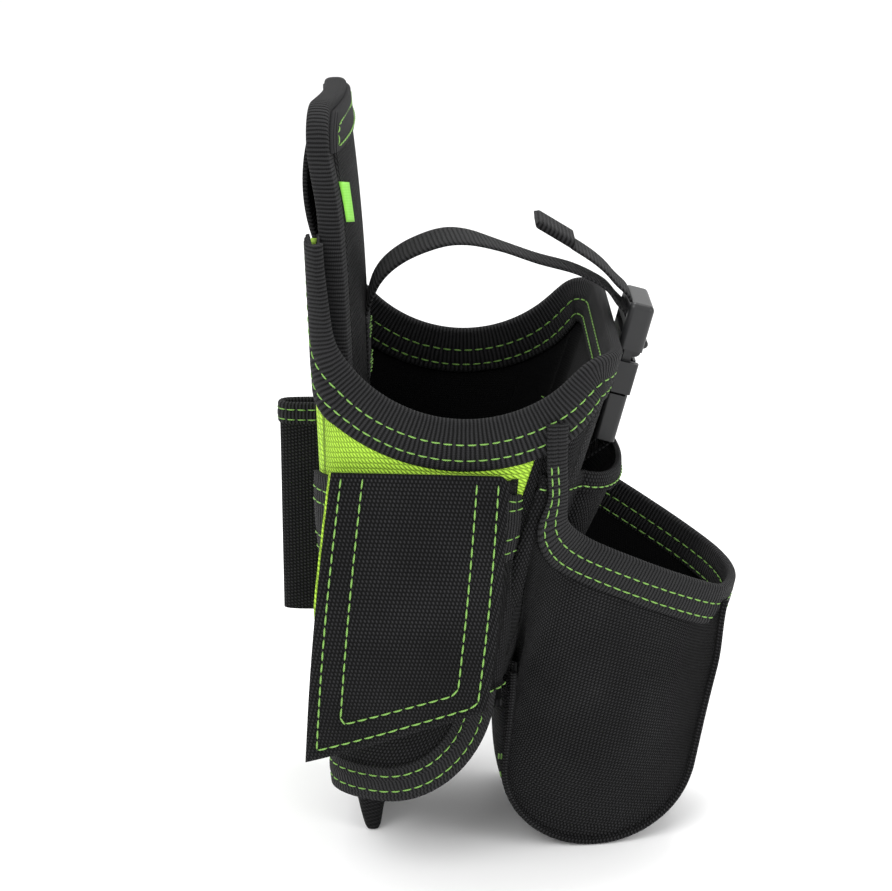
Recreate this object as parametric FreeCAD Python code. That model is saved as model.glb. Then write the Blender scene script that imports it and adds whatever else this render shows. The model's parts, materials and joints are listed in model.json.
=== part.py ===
"""Electrician tool pouch: padded back board, open main pocket, front scoop pocket, side pocket with a
flap, far side sleeve, and a retaining strap closed by a side-release buckle.

Millimetres. +X is the pouch's front (away from the wearer), +Y its far side, +Z up.
All shapes are made in a working frame whose X = 0, Y = 0 lies inside the main pocket and whose Z = 0 is
the ground; main() then moves them so that the origin is the centre of the bounding box's bottom face.
"""
import FreeCAD
import Part
import math
import os

V = FreeCAD.Vector

# ---- main pocket ----
WALL = 3.0                    # padded side and front walls
REAR_X = -46.5                # outer face of the rear flanges at BASE_Z
REAR_LEAN = 0.031             # how far the rear flanges move back per mm of height
RIM_FRONT_X = 69.5            # outer face of the front wall at RIM_FRONT_Z
RIM_FRONT_Z = 229.4
FRONT_LEAN = 0.31             # how far the front wall moves forward per mm of height
HALF_WIDTH_LOW = 66.0         # outer half width at BASE_Z
HALF_WIDTH_HIGH = 71.5        # outer half width at HIGH_Z
BASE_Z = 45.0
HIGH_Z = 200.0
POUCH_FOOT_Z = 20.0           # the walls are drawn from here and cut by the rounded underside
FRONT_CORNER_R = 22.0
REAR_CORNER_R = 8.0
BOTTOM_ARC_X, BOTTOM_ARC_Z, BOTTOM_ARC_R = -27.0, 90.5, 46.2
BOTTOM_ARC_END = math.radians(-12)
SADDLE_X, SADDLE_Z, SADDLE_R = 8.0, 264.0, 60.0
FLANGE_TOP_Z = 277.0
FLANGE_FRONT_X = -47.8        # the rim turns up into the flanges here
FLANGE_INNER_Y = 44.0
FRONT_SEAM_BACK = 20.0        # the side seam runs this far behind the front wall
RIM_BAND = 19.0               # visible width of the folded rim webbing
BINDING = 1.3                 # thickness of the rim webbing
REAR_GAP_LAP = 4.0            # the open rear reaches this far in front of the flanges' edge
TOP = 300.0                   # above everything that is cut to height
WIDE = 130.0                  # outside both sides of the pouch
LENGTH = 200.0                # beyond the front of the pouch

# ---- back board ----
BOARD_FRONT_X = -34.3
BOARD_PLAN_R = 370.0          # the board curves round the hip
BOARD_STRAIGHT_Z = 200.0      # above this it leans back on an arc
BOARD_FOOT_SLOPE = 0.024      # below it the board runs forward towards its foot
BOARD_LEAN_R = 1100.0
BOARD_SWEEP = 15.0            # degrees each way, wider than the board
BOARD_HALF_WIDTH = 60.0
BOARD_LOW_Z, BOARD_TOP_Z = 48.3, 325.5
BOARD_CORNER_R = 20.0
BOARD_LAYERS = [("board_front_cover", 1.2), ("board_foam", 3.0),
                ("board_stiffener", 1.8), ("board_rear_cover", 1.2)]
BOARD_THICK = sum(t for _, t in BOARD_LAYERS)
BOARD_TRIM = 1.2
BOARD_TRIM_BAND = 9.0
BOARD_TRIM_START = 8.0        # the binding starts this far above the board's foot
BOARD_CLEAR = 0.1             # play between the binding and the flanges
LABEL_T = 0.6
LABEL_HALF_WIDTH, LABEL_Z0, LABEL_Z1 = 47.0, 268.0, 304.0

# ---- belt loop on the board's rear ----
LOOP_T = 2.0
LOOP_GAP = 9.2
LOOP_HALF_WIDTH = 38.0
LOOP_LOW_Z, LOOP_TOP_Z = 254.0, 316.0
LOOP_LOW_TAB, LOOP_TOP_TAB = 10.0, 3.0

# ---- front scoop pocket ----
SCOOP_T = 2.5
SCOOP_ARC_X, SCOOP_ARC_Z, SCOOP_ARC_R = 65.6, 45.2, 45.2
SCOOP_LEAN = math.radians(12.5)
SCOOP_PLAN_X, SCOOP_PLAN_A = 20.0, 112.0
SCOOP_HALF_LOW, SCOOP_HALF_PER_Z = 36.0, 0.165
SCOOP_RIM_ARC = (81.0, 181.8, 40.0)                # x, z, radius
SCOOP_RIM_TURN = 0.6          # radians from the rim's root to a middle point of that arc
SCOOP_RIM_SLOPE = math.atan(0.54)
SCOOP_BAND = 17.0
SCOOP_TAPE = 4.0              # width of the piping's sewn tape
SCOOP_TAPE_T = 1.0
CORNER_STRIP_Z = 160.0        # above this the rim webbing lies on the main pocket's front corners
CORNER_STRIP_REAR, CORNER_STRIP_FRONT = -12.0, 7.0     # its edges, from the rim's rearmost x
CORNER_STRIP_RUN = 4.0        # how far forward the strip runs by the time it reaches TOP
SCOOP_TOP_Z = 186.0
SCOOP_PIPING_TOP_Z = 150.0
SCOOP_CEILING = 260.0         # the open height to which the scoop's outlines are drawn

# ---- near side pocket and flap ----
POCKET_T = 2.0
POCKET_LOW = (-14.0, -58.0, 33.0, 20.0, 40.0)      # plan ellipse: x, y, half length, half depth, height
POCKET_HIGH = (-10.0, -62.0, 41.0, 22.0, 170.0)
POCKET_TOP_Z = 160.0
POCKET_BAND, POCKET_BINDING = 14.0, 1.2
POCKET_HEM_DROP = 0.8         # the hem webbing reaches this far below the pocket
ANCHOR_BAND = (-10.0, -64.0, 41.0, 9.0)            # plan ellipse: x, y, half length, half depth
ANCHOR_BAND_Z0, ANCHOR_BAND_Z1 = 163.0, 183.0
FLAP_CORNERS = [(-45.5, 187.0), (25.2, 185.5), (16.6, 91.5), (-57.0, 67.5)]
FLAP_ARC = [(-77.0, 190.0), (-91.0, 148.0), (-92.5, 60.0)]
FLAP_OUTER_T, FLAP_LINING_T = 1.5, 0.8
PATCH_T = 1.0
HOOK_PATCH = (-36.0, 8.0, 112.0, 138.0)            # x0, x1, z0, z1
LOOP_PATCH = (-34.0, 6.0, 114.0, 136.0)

# ---- far side sleeve ----
SLEEVE_X0, SLEEVE_X1 = -77.0, -20.0
SLEEVE_Y0, SLEEVE_DEPTH, SLEEVE_T = 70.9, 10.5, 1.5
SLEEVE_Z0, SLEEVE_Z1 = 69.5, 170.0
SLEEVE_BAND = 11.0
SLEEVE_ROUND = 0.8            # corner radius as a share of its half depth
SLEEVE_TILT = 2.0             # degrees, its foot nearer the wall
SLEEVE_BINDING, SLEEVE_BINDING_IN = 0.9, 0.4
SLEEVE_STAND_OFF = 0.8        # from the wall to the sleeve

# ---- tool loop above the scoop pocket ----
TOOL_LOOP_T = 2.0
TOOL_LOOP_HIGH = (57.0, 0.0, 26.5, 52.0, 190.0)
TOOL_LOOP_LOW = (38.0, 0.0, 13.5, 36.0, 118.0)
TOOL_LOOP_HEM, TOOL_LOOP_HEM_T = 8.0, 0.9
TOOL_LOOP_LIP = [(20.0, 190.0), (100.0, 161.0)]    # side view of its sloping lip
FIT = 0.05                    # play between a sewn-on piece and the wall behind it

# ---- rear foot ----
FOOT_ROUND = 0.9              # corner radius as a share of its half length
FOOT_SECTIONS = [(-34.0, 0.0, 11.0, 28.0, 44.6), (-34.0, 0.0, 7.2, 24.0, 16.0),
                 (-32.5, 0.0, 3.0, 21.0, 0.0)]

# ---- side-release buckle, in its own frame: s up the strap, n out of the pouch, y across ----
BUCKLE_AT = V(70.4, 0, 215)
BUCKLE_TILT = math.radians(14.5)
BUCKLE_HALF = 17.0
SOCKET_LOW, SOCKET_LEDGE, SOCKET_TOP = -34.0, -13.4, 1.0
SOCKET_N0, SOCKET_N1 = 0.2, 9.4
SOCKET_PLATE = 1.2
WINDOW_DEPTH = 6.9            # each side window, in from the socket's edge
FRAME_LOW, FRAME_TOP = 2.6, 26.5
FRAME_N0, FRAME_N1 = -0.5, 10.2
SOCKET_CORNER_R, PLUG_CORNER_R = 2.0, 2.4
PLUG_EDGE_R, SHOULDER_CORNER_R = 2.4, 1.2
SHOULDER_N0 = 0.8
SHOULDER_Y0, SHOULDER_Y1 = 12.4, 16.6
LEDGE_PLAY = 0.8              # between an arm's shoulder and the socket's ledge
ARM_TIP = -24.0
ARM_ROOT = 6.0
ARM_Y0, ARM_Y1 = 11.0, 13.8
ARM_N0, ARM_N1 = 2.9, 6.7     # the arms and the guide tongue lie between these
TONGUE_TIP, TONGUE_HALF = -21.0, 3.2
PLUG_SLOTS = ((12.2, 15.6), (18.6, 22.2))
PLUG_SLOT_PLAY = 0.8
RIDGE_S, RIDGE_R, RIDGE_HALF = 9.2, 1.9, 12.0
ARM_GAP = 0.35                # play round an arm's root
BAR_S = -30.8                 # the socket's web bar lies below this
BAR_N0, BAR_N1 = 3.2, 6.4
BAR_SLOT_TOP = -27.6          # the slot above the bar ends here
BAR_SLOT_PLAY = 0.7
SOCKET_SIDE = 1.6             # thickness of the socket's side walls
SOCKET_FLOOR = -26.0          # the socket's cavity starts here
TAB_LOW_Z, TAB_HIGH_Z = 158.0, 166.0               # where the socket's webbing is sewn to the front wall
TAB_STAND, TAB_TOP = 2.5, 2.4 # how far the webbing stands off the bar, and over its top
WEB_HALF = 12.5               # half of the 25 mm webbing
WEB_T = 1.5

# ---- retaining strap ----
ROOT_PATH = [(-33.6, 232.0), (-28.8, 247.5), (-19.6, 256.8)]
STRAP_PATH = [(-18.2, 257.7), (-4.0, 263.8), (8.0, 264.6), (22.0, 261.0),
              (38.0, 255.5), (54.0, 251.0), (66.0, 244.8), (71.8, 238.2), (75.5, 234.5)]
ANCHOR_Z0, ANCHOR_Z1 = 206.0, 231.0
TAIL_PATH = [(75.4, 242.6), (71.0, 246.8), (65.5, 252.8), (57.0, 259.2), (37.2, 271.3)]
TAIL_FOLD = 18.0
TAIL_FOLD_T = 4.0


def box(x0, x1, y0, y1, z0, z1):
    return Part.makeBox(x1 - x0, y1 - y0, z1 - z0, V(x0, y0, z0))


def side_prism(edges, y0=-WIDE, y1=WIDE):
    """A solid whose side view, in the XZ plane, is the closed outline given by edges."""
    face = Part.Face(Part.Wire(edges))
    face.translate(V(0, y0, 0))
    return face.extrude(V(0, y1 - y0, 0))


def polyline(points):
    vectors = [V(x, 0, z) for x, z in points]
    return [Part.LineSegment(a, b).toShape() for a, b in zip(vectors, vectors[1:])]


def side_polygon(points, y0=-WIDE, y1=WIDE):
    return side_prism(polyline(points + points[:1]), y0, y1)


def front_x(z):
    return RIM_FRONT_X - (RIM_FRONT_Z - z) * FRONT_LEAN


def rear_x(z):
    return REAR_X - (z - BASE_Z) * REAR_LEAN


def half_width(z):
    return HALF_WIDTH_LOW + (z - BASE_Z) * (HALF_WIDTH_HIGH - HALF_WIDTH_LOW) / (HIGH_Z - BASE_Z)


def corner_arc(cx, cy, r, start, z):
    """A quarter circle about (cx, cy), anticlockwise from the angle start in degrees."""
    at = [V(cx + r * math.cos(math.radians(start + k)), cy + r * math.sin(math.radians(start + k)), z)
          for k in (0, 45, 90)]
    return Part.Arc(*at).toShape()


def rounded_section(x0, x1, half, r_rear, r_front, z):
    """A closed plan outline from x0 to x1, with its own radius on the rear and the front corners."""
    arcs = [corner_arc(x1 - r_front, -half + r_front, r_front, -90, z),
            corner_arc(x1 - r_front, half - r_front, r_front, 0, z),
            corner_arc(x0 + r_rear, half - r_rear, r_rear, 90, z),
            corner_arc(x0 + r_rear, -half + r_rear, r_rear, 180, z)]
    edges = []
    for a, b in zip(arcs, arcs[1:] + arcs[:1]):
        edges += [a, Part.LineSegment(a.Vertexes[-1].Point, b.Vertexes[0].Point).toShape()]
    return Part.Wire(edges)


def ellipse_section(cx, cy, a, b, z):
    if a >= b:
        edge = Part.Ellipse(V(cx, cy, z), a, b).toShape()
    else:
        edge = Part.Ellipse(V(cx, cy + b, z), V(cx - a, cy, z), V(cx, cy, z)).toShape()
    return Part.Wire([edge])


def ellipse_loft(low, high, d=0.0):
    """The solid between two plan ellipses, each given as x, y, half length, half depth, height."""
    sections = [ellipse_section(x, y, a + d, b + d, z) for x, y, a, b, z in (low, high)]
    return Part.makeLoft(sections, True, True)


def bottom_prism(d=0.0):
    """Everything above the main pocket's rounded underside, moved out by d."""
    r = BOTTOM_ARC_R + d
    low = BOTTOM_ARC_Z - r
    middle = (BOTTOM_ARC_END - math.pi / 2) / 2
    end = V(BOTTOM_ARC_X + r * math.cos(BOTTOM_ARC_END), 0, BOTTOM_ARC_Z + r * math.sin(BOTTOM_ARC_END))
    mid = V(BOTTOM_ARC_X + r * math.cos(middle), 0, BOTTOM_ARC_Z + r * math.sin(middle))
    start = V(BOTTOM_ARC_X, 0, low)
    arc = Part.Arc(start, mid, end).toShape()
    rest = polyline([(end.x, end.z), (150, end.z), (150, TOP), (-100, TOP), (-100, low), (start.x, low)])
    return side_prism([arc] + rest)


def pouch_volume(d=0.0):
    """The main pocket's outer volume, moved out by d, open ended at TOP."""
    sections = [rounded_section(rear_x(z) - d, front_x(z) + d, half_width(z) + d, REAR_CORNER_R + d,
                                FRONT_CORNER_R + d, z) for z in (POUCH_FOOT_Z, TOP)]
    return Part.makeLoft(sections, True, True).common(bottom_prism(d))


def above_rim(raise_by=0.0):
    """Everything above the main pocket's saddle-shaped rim, with the rim raised by raise_by."""
    r = SADDLE_R - raise_by
    rear = FLANGE_FRONT_X
    front_z = RIM_FRONT_Z + raise_by
    start = V(rear, 0, SADDLE_Z - math.sqrt(r * r - (rear - SADDLE_X) ** 2))
    end = V(SADDLE_X + math.sqrt(r * r - (front_z - SADDLE_Z) ** 2), 0, front_z)
    arc = Part.Arc(start, V(SADDLE_X, 0, SADDLE_Z - r), end).toShape()
    rest = polyline([(end.x, end.z), (150, end.z), (150, TOP + 9), (rear, TOP + 9), (start.x, start.z)])
    flange = box(-100, rear, -WIDE, WIDE, FLANGE_TOP_Z + raise_by, TOP + 9)
    return side_prism([arc] + rest).fuse(flange)


def rim_band_region():
    """Everything above the lower edge of the rim webbing."""
    r = SADDLE_R + RIM_BAND
    rear = FLANGE_FRONT_X
    front_z = RIM_FRONT_Z - RIM_BAND
    start = V(rear, 0, SADDLE_Z - math.sqrt(r * r - (rear - SADDLE_X) ** 2))
    end = V(SADDLE_X + math.sqrt(r * r - (front_z - SADDLE_Z) ** 2), 0, front_z)
    arc = Part.Arc(start, V(SADDLE_X, 0, SADDLE_Z - r), end).toShape()
    rest = polyline([(end.x, end.z), (150, end.z), (150, TOP + 9), (-100, TOP + 9), (-100, start.z),
                     (start.x, start.z)])
    return side_prism([arc] + rest)


def board_profile_x(z):
    """The board's front face on its centre line."""
    over = z - BOARD_STRAIGHT_Z
    if over < 0:
        return BOARD_FRONT_X - over * BOARD_FOOT_SLOPE
    return BOARD_FRONT_X - (BOARD_LEAN_R - math.sqrt(BOARD_LEAN_R ** 2 - over ** 2))


def board_edge(n, z0, z1):
    """The side view of the surface lying n behind the board's front face, from z0 up to z1."""
    low = max(z0, BOARD_STRAIGHT_Z)
    at = [V(board_profile_x(z) - n, 0, z) for z in (low, (low + z1) / 2, z1)]
    edges = [Part.Arc(*at).toShape()]
    if z0 < BOARD_STRAIGHT_Z:
        at.insert(0, V(board_profile_x(z0) - n, 0, z0))
        edges.insert(0, Part.LineSegment(at[0], at[1]).toShape())
    return edges, at[0], at[-1]


def turn_about_hip(edges):
    """Turns a closed side view about the hip's upright axis, which gives it the board's plan curve."""
    face = Part.Face(Part.Wire(Part.__sortEdges__(edges)))
    axis = V(BOARD_FRONT_X - BOARD_PLAN_R, 0, 0)
    face.rotate(axis, V(0, 0, 1), -BOARD_SWEEP)
    return face.revolve(axis, V(0, 0, 1), 2 * BOARD_SWEEP)


def board_slab(n0, n1, z0=BOARD_LOW_Z, z1=BOARD_TOP_Z + 5):
    """A curved slab between n0 and n1 behind the board's front face."""
    front, f0, f1 = board_edge(n0, z0, z1)
    rear, r0, r1 = board_edge(n1, z0, z1)
    ends = [Part.LineSegment(f0, r0).toShape(), Part.LineSegment(f1, r1).toShape()]
    return turn_about_hip(front + rear + ends)


def board_outline(d=0.0):
    """The board's front view, grown by d, as a prism along X: round top corners, square foot."""
    y, z1, r = BOARD_HALF_WIDTH + d, BOARD_TOP_Z + d, BOARD_CORNER_R + d
    k = r * (1 - math.sqrt(0.5))
    right = Part.Arc(V(-90, y, z1 - r), V(-90, y - k, z1 - k), V(-90, y - r, z1)).toShape()
    left = Part.Arc(V(-90, -y + r, z1), V(-90, -y + k, z1 - k), V(-90, -y, z1 - r)).toShape()
    low = BOARD_LOW_Z
    points = [V(-90, -y, z1 - r), V(-90, -y, low), V(-90, y, low), V(-90, y, z1 - r)]
    lines = [Part.LineSegment(a, b).toShape() for a, b in zip(points, points[1:])]
    top = Part.LineSegment(V(-90, y - r, z1), V(-90, -y + r, z1)).toShape()
    return Part.Face(Part.Wire(lines + [right, top, left])).extrude(V(90, 0, 0))


def make_board():
    parts = {}
    outline = board_outline()
    n = 0.0
    for name, thick in BOARD_LAYERS:
        parts[name] = board_slab(n, n + thick).common(outline)
        n += thick
    body = board_slab(0, BOARD_THICK).common(outline)
    ring = board_outline(BOARD_TRIM).cut(board_outline(-BOARD_TRIM_BAND)).cut(
        box(-100, 10, -WIDE, WIDE, 0, BOARD_LOW_Z + BOARD_TRIM_START))
    parts["board_binding"] = board_slab(-BOARD_TRIM, BOARD_THICK + BOARD_TRIM).common(ring).cut(body)
    label = board_slab(-LABEL_T, 0, LABEL_Z0, LABEL_Z1)
    parts["board_label"] = label.common(box(-90, 0, -LABEL_HALF_WIDTH, LABEL_HALF_WIDTH, LABEL_Z0, LABEL_Z1))
    return parts


def make_belt_loop():
    """A bowed webbing panel sewn to the board's rear along its top and bottom, open on both sides."""
    rear = BOARD_THICK
    low, high = LOOP_LOW_Z + LOOP_LOW_TAB, LOOP_TOP_Z - LOOP_TOP_TAB
    middle = (low + high) / 2

    def bow(n):
        depths = ((low, 0), (middle, LOOP_GAP + n), (high, 0))
        at = [V(board_profile_x(z) - rear - depth, 0, z) for z, depth in depths]
        at[0].z -= n
        at[2].z += n
        arc = Part.Arc(*at).toShape()
        return turn_about_hip([arc, Part.LineSegment(at[0], at[2]).toShape()])
    tabs = board_slab(rear, rear + LOOP_T, LOOP_LOW_Z, LOOP_TOP_Z)
    shape = bow(LOOP_T).fuse(tabs).cut(bow(0)).cut(board_slab(0, rear))
    return {"belt_loop": shape.common(box(-120, 0, -LOOP_HALF_WIDTH, LOOP_HALF_WIDTH, 0, TOP + 60))}


def make_main_pocket():
    parts = {}
    outer, inner = pouch_volume(), pouch_volume(-WALL)
    window = box(-80, rear_x(BASE_Z) + WALL, -FLANGE_INNER_Y, FLANGE_INNER_Y, BASE_Z + WALL, TOP + 9)
    shell = outer.cut(inner).cut(above_rim()).cut(window)
    lower = shell.cut(bottom_prism(-WALL))
    upper = shell.common(bottom_prism(-WALL))
    seam = side_polygon([(front_x(0) - FRONT_SEAM_BACK, 0), (200, 0), (200, TOP + 20),
                         (front_x(TOP + 20) - FRONT_SEAM_BACK, TOP + 20)])
    grow = BOARD_TRIM + BOARD_CLEAR
    clear = board_slab(-grow, BOARD_THICK + grow).common(board_outline(grow))
    sides = upper.cut(seam).cut(clear)
    parts["bottom_panel"] = lower
    parts["front_wall"] = upper.common(seam)
    parts["near_side_wall"] = sides.common(box(-100, 150, -WIDE, 0, 0, TOP + 20))
    parts["far_side_wall"] = sides.common(box(-100, 150, 0, WIDE, 0, TOP + 20))
    ring = pouch_volume(BINDING).cut(pouch_volume(-WALL - BINDING))
    rear_gap = box(-80, FLANGE_FRONT_X + BINDING + REAR_GAP_LAP, -FLANGE_INNER_Y, FLANGE_INNER_Y, 0, TOP + 9)
    band = ring.common(rim_band_region()).cut(above_rim(BINDING)).cut(shell).cut(rear_gap)
    parts["main_rim_webbing"] = band.cut(clear)
    return parts


def scoop_profile(d=0.0):
    """The scoop pocket's side view: round bottom, upright rear, front leaning forward."""
    r = SCOOP_ARC_R + d
    turn = -SCOOP_LEAN
    end = (SCOOP_ARC_X + r * math.cos(turn), SCOOP_ARC_Z + r * math.sin(turn))
    climb = SCOOP_CEILING - end[1]
    top = (end[0] + climb * math.tan(SCOOP_LEAN), SCOOP_CEILING)
    rear = SCOOP_ARC_X - r
    mid = (turn - math.pi) / 2
    arc = Part.Arc(V(rear, 0, SCOOP_ARC_Z),
                   V(SCOOP_ARC_X + r * math.cos(mid), 0, SCOOP_ARC_Z + r * math.sin(mid)),
                   V(end[0], 0, end[1])).toShape()
    return side_prism([arc] + polyline([end, top, (rear, SCOOP_CEILING), (rear, SCOOP_ARC_Z)]))


def scoop_plan(d=0.0):
    low, high = [(SCOOP_PLAN_X, 0, SCOOP_PLAN_A, SCOOP_HALF_LOW + SCOOP_HALF_PER_Z * z, z)
                 for z in (-10.0, SCOOP_CEILING)]
    return ellipse_loft(low, high, d)


def above_scoop_rim(lower_by=0.0):
    """Everything above the scoop pocket's rim: upright at the root, then an arc, then a long slope."""
    cx, cz, r = SCOOP_RIM_ARC
    r += lower_by
    at = [V(cx - r, 0, cz),
          V(cx - r * math.cos(SCOOP_RIM_TURN), 0, cz - r * math.sin(SCOOP_RIM_TURN)),
          V(cx - r * math.sin(SCOOP_RIM_SLOPE), 0, cz - r * math.cos(SCOOP_RIM_SLOPE))]
    arc = Part.Arc(*at).toShape()
    nose = (at[2].x + 90, at[2].z - 90 * math.tan(SCOOP_RIM_SLOPE))
    return side_prism([arc] + polyline([(at[2].x, at[2].z), nose, (nose[0], 280), (at[0].x, 280),
                                        (at[0].x, at[0].z)]))


def make_scoop_pocket():
    parts = {}
    profile, plan = scoop_profile(), scoop_plan()
    profile_in, plan_in = scoop_profile(-SCOOP_T), scoop_plan(-SCOOP_T)
    main = pouch_volume(0.0)
    shell = profile.common(plan).cut(profile_in.common(plan_in)).cut(above_scoop_rim()).cut(main)
    over = box(-60, LENGTH, -WIDE, WIDE, SCOOP_TOP_Z, TOP)
    shell = shell.cut(over)
    gusset = shell.cut(profile_in)
    sides = shell.common(profile_in)
    near, far = box(-100, LENGTH, -WIDE, 0, -5, TOP), box(-100, LENGTH, 0, WIDE, -5, TOP)
    parts["scoop_gusset"] = gusset
    parts["scoop_near_panel"] = sides.common(near)
    parts["scoop_far_panel"] = sides.common(far)
    ring = scoop_profile(BINDING).common(scoop_plan(BINDING)).cut(
        scoop_profile(-SCOOP_T - BINDING).common(scoop_plan(-SCOOP_T - BINDING)))
    band = ring.common(above_scoop_rim(SCOOP_BAND)).cut(above_scoop_rim(-BINDING)).cut(shell)
    band = band.cut(main).cut(over)
    root_x = SCOOP_RIM_ARC[0] - SCOOP_RIM_ARC[2]
    strip = pouch_volume(BINDING).cut(main).cut(rim_band_region())
    back, front = root_x + CORNER_STRIP_REAR, root_x + CORNER_STRIP_FRONT
    strip = strip.common(side_polygon([(back, CORNER_STRIP_Z), (front, CORNER_STRIP_Z),
                                       (front + CORNER_STRIP_RUN, TOP), (back + CORNER_STRIP_RUN, TOP)]))
    parts["scoop_rim_webbing"] = band.fuse(strip).cut(shell)
    tape = scoop_plan(SCOOP_TAPE_T).cut(plan).common(profile.cut(scoop_profile(-SCOOP_TAPE)))
    tape = tape.cut(above_scoop_rim(SCOOP_BAND)).cut(main)
    tape = tape.cut(box(-60, LENGTH, -WIDE, WIDE, SCOOP_PIPING_TOP_Z, TOP))
    parts["scoop_near_piping"] = tape.common(near)
    parts["scoop_far_piping"] = tape.common(far)
    return parts


def make_tool_loop():
    """A tapered half-round band on the front wall, its lip dipping forward."""
    outside = ellipse_loft(TOOL_LOOP_LOW, TOOL_LOOP_HIGH)
    shell = outside.cut(ellipse_loft(TOOL_LOOP_LOW, TOOL_LOOP_HIGH, -TOOL_LOOP_T))
    above = [(x, TOP) for x, _ in reversed(TOOL_LOOP_LIP)]
    lip = TOOL_LOOP_LIP + above
    hem_low = [(x, z - TOOL_LOOP_HEM) for x, z in TOOL_LOOP_LIP] + above
    wall = pouch_volume(FIT)
    shell = shell.cut(side_polygon(lip)).cut(wall)
    hem = ellipse_loft(TOOL_LOOP_LOW, TOOL_LOOP_HIGH, TOOL_LOOP_HEM_T).cut(outside)
    hem = hem.common(side_polygon(hem_low)).cut(side_polygon(lip)).cut(wall)
    return {"tool_loop": shell, "tool_loop_hem": hem}


def make_side_pocket():
    parts = {}
    main = pouch_volume(0.0)
    outer = ellipse_loft(POCKET_LOW, POCKET_HIGH).common(bottom_prism())
    inner = ellipse_loft(POCKET_LOW, POCKET_HIGH, -POCKET_T).common(bottom_prism(-POCKET_T))
    over = box(-100, 100, -WIDE, WIDE, POCKET_TOP_Z, 400)
    shell = outer.cut(inner).cut(over).cut(main)
    near = box(-100, 150, -WIDE, 0, 0, TOP)
    shell = shell.common(near)
    parts["side_pocket"] = shell
    skin = ellipse_loft(POCKET_LOW, POCKET_HIGH, POCKET_BINDING)
    ring = skin.cut(ellipse_loft(POCKET_LOW, POCKET_HIGH, -POCKET_T - POCKET_BINDING))
    band = ring.common(box(-100, 100, -WIDE, 0, POCKET_TOP_Z - POCKET_BAND, POCKET_TOP_Z + POCKET_BINDING))
    parts["side_pocket_rim"] = band.cut(shell).cut(main)
    hem = skin.cut(ellipse_loft(POCKET_LOW, POCKET_HIGH))
    hem = hem.common(bottom_prism(POCKET_HEM_DROP)).cut(bottom_prism(-POCKET_BAND)).common(near)
    parts["side_pocket_hem"] = hem.cut(main)
    x, y, a, b = ANCHOR_BAND
    low, high = (x, y, a, b, ANCHOR_BAND_Z0), (x, y, a, b, ANCHOR_BAND_Z1)
    parts["flap_anchor_band"] = ellipse_loft(low, high).cut(main)
    return parts


def flap_layer(n0, n1, corners):
    """A layer of the hanging flap from n0 to n1 behind its outer face, cut to the given corners."""
    def arc(n):
        return [V(-90, y + n, z) for y, z in FLAP_ARC]
    a, b = arc(n0), arc(n1)
    edges = [Part.Arc(*a).toShape(), Part.LineSegment(a[2], b[2]).toShape(),
             Part.Arc(*reversed(b)).toShape(), Part.LineSegment(b[0], a[0]).toShape()]
    slab = Part.Face(Part.Wire(edges)).extrude(V(160, 0, 0))
    return slab.common(side_polygon(corners))


def make_flap():
    x0, x1, z0, z1 = HOOK_PATCH
    patch = [(x0, z0), (x1, z0), (x1, z1), (x0, z1)]
    lining = FLAP_OUTER_T + FLAP_LINING_T
    return {"flap_outer": flap_layer(0, FLAP_OUTER_T, FLAP_CORNERS),
            "flap_lining": flap_layer(FLAP_OUTER_T, lining, FLAP_CORNERS),
            "flap_hook_patch": flap_layer(lining, lining + PATCH_T, patch)}


def make_loop_patch():
    """The soft half of the flap's touch fastener, on the side pocket's face."""
    skin = ellipse_loft(POCKET_LOW, POCKET_HIGH, PATCH_T).cut(ellipse_loft(POCKET_LOW, POCKET_HIGH))
    x0, x1, z0, z1 = LOOP_PATCH
    return {"side_pocket_loop_patch": skin.common(box(x0, x1, -WIDE, -HALF_WIDTH_LOW, z0, z1))}


def make_sleeve():
    """A flat tool sleeve, open at the top, reaching past the rear edge of the far wall."""
    y0, y1 = SLEEVE_Y0, SLEEVE_Y0 + SLEEVE_DEPTH

    def tube(d, z0, z1):
        mid, half = (y0 + y1) / 2, SLEEVE_DEPTH / 2 + d
        r = half * SLEEVE_ROUND
        wire = rounded_section(SLEEVE_X0 - d, SLEEVE_X1 + d, half, r, r, z0)
        wire.translate(V(0, mid, 0))
        return Part.Face(wire).extrude(V(0, 0, z1 - z0))
    shell = tube(0, SLEEVE_Z0, SLEEVE_Z1 - 1).cut(tube(-SLEEVE_T, SLEEVE_Z0 + SLEEVE_T, SLEEVE_Z1 + 5))
    band = tube(SLEEVE_BINDING, SLEEVE_Z1 - SLEEVE_BAND, SLEEVE_Z1)
    band = band.cut(tube(-SLEEVE_T + SLEEVE_BINDING_IN, 0, SLEEVE_Z1 + 5)).cut(shell)
    parts = {"far_sleeve": shell, "far_sleeve_rim": band}
    for shape in parts.values():
        shape.rotate(V(0, y0, SLEEVE_Z1), V(1, 0, 0), -SLEEVE_TILT)
        shape.translate(V(0, SLEEVE_STAND_OFF, 0))
    return parts


def make_foot():
    wires = []
    for cx, cy, a, b, z in FOOT_SECTIONS:
        wire = rounded_section(cx - a, cx + a, b, a * FOOT_ROUND, a * FOOT_ROUND, z)
        wire.translate(V(0, cy, 0))
        wires.append(wire)
    return {"rear_foot": Part.makeLoft(wires, True, True).cut(pouch_volume())}


def buckle_place(shape):
    """Moves a shape from the buckle's own frame (x = n, y = y, z = s) to its place on the front wall."""
    shape.rotate(V(0, 0, 0), V(0, 1, 0), math.degrees(BUCKLE_TILT))
    shape.translate(BUCKLE_AT)
    return shape


def buckle_point(n, s):
    c, t = math.cos(BUCKLE_TILT), math.sin(BUCKLE_TILT)
    return V(BUCKLE_AT.x + n * c + s * t, 0, BUCKLE_AT.z - n * t + s * c)


def round_edges(shape, radius, wanted):
    edges = [e for e in shape.Edges if wanted(e)]
    return shape.makeFillet(radius, edges)


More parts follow.
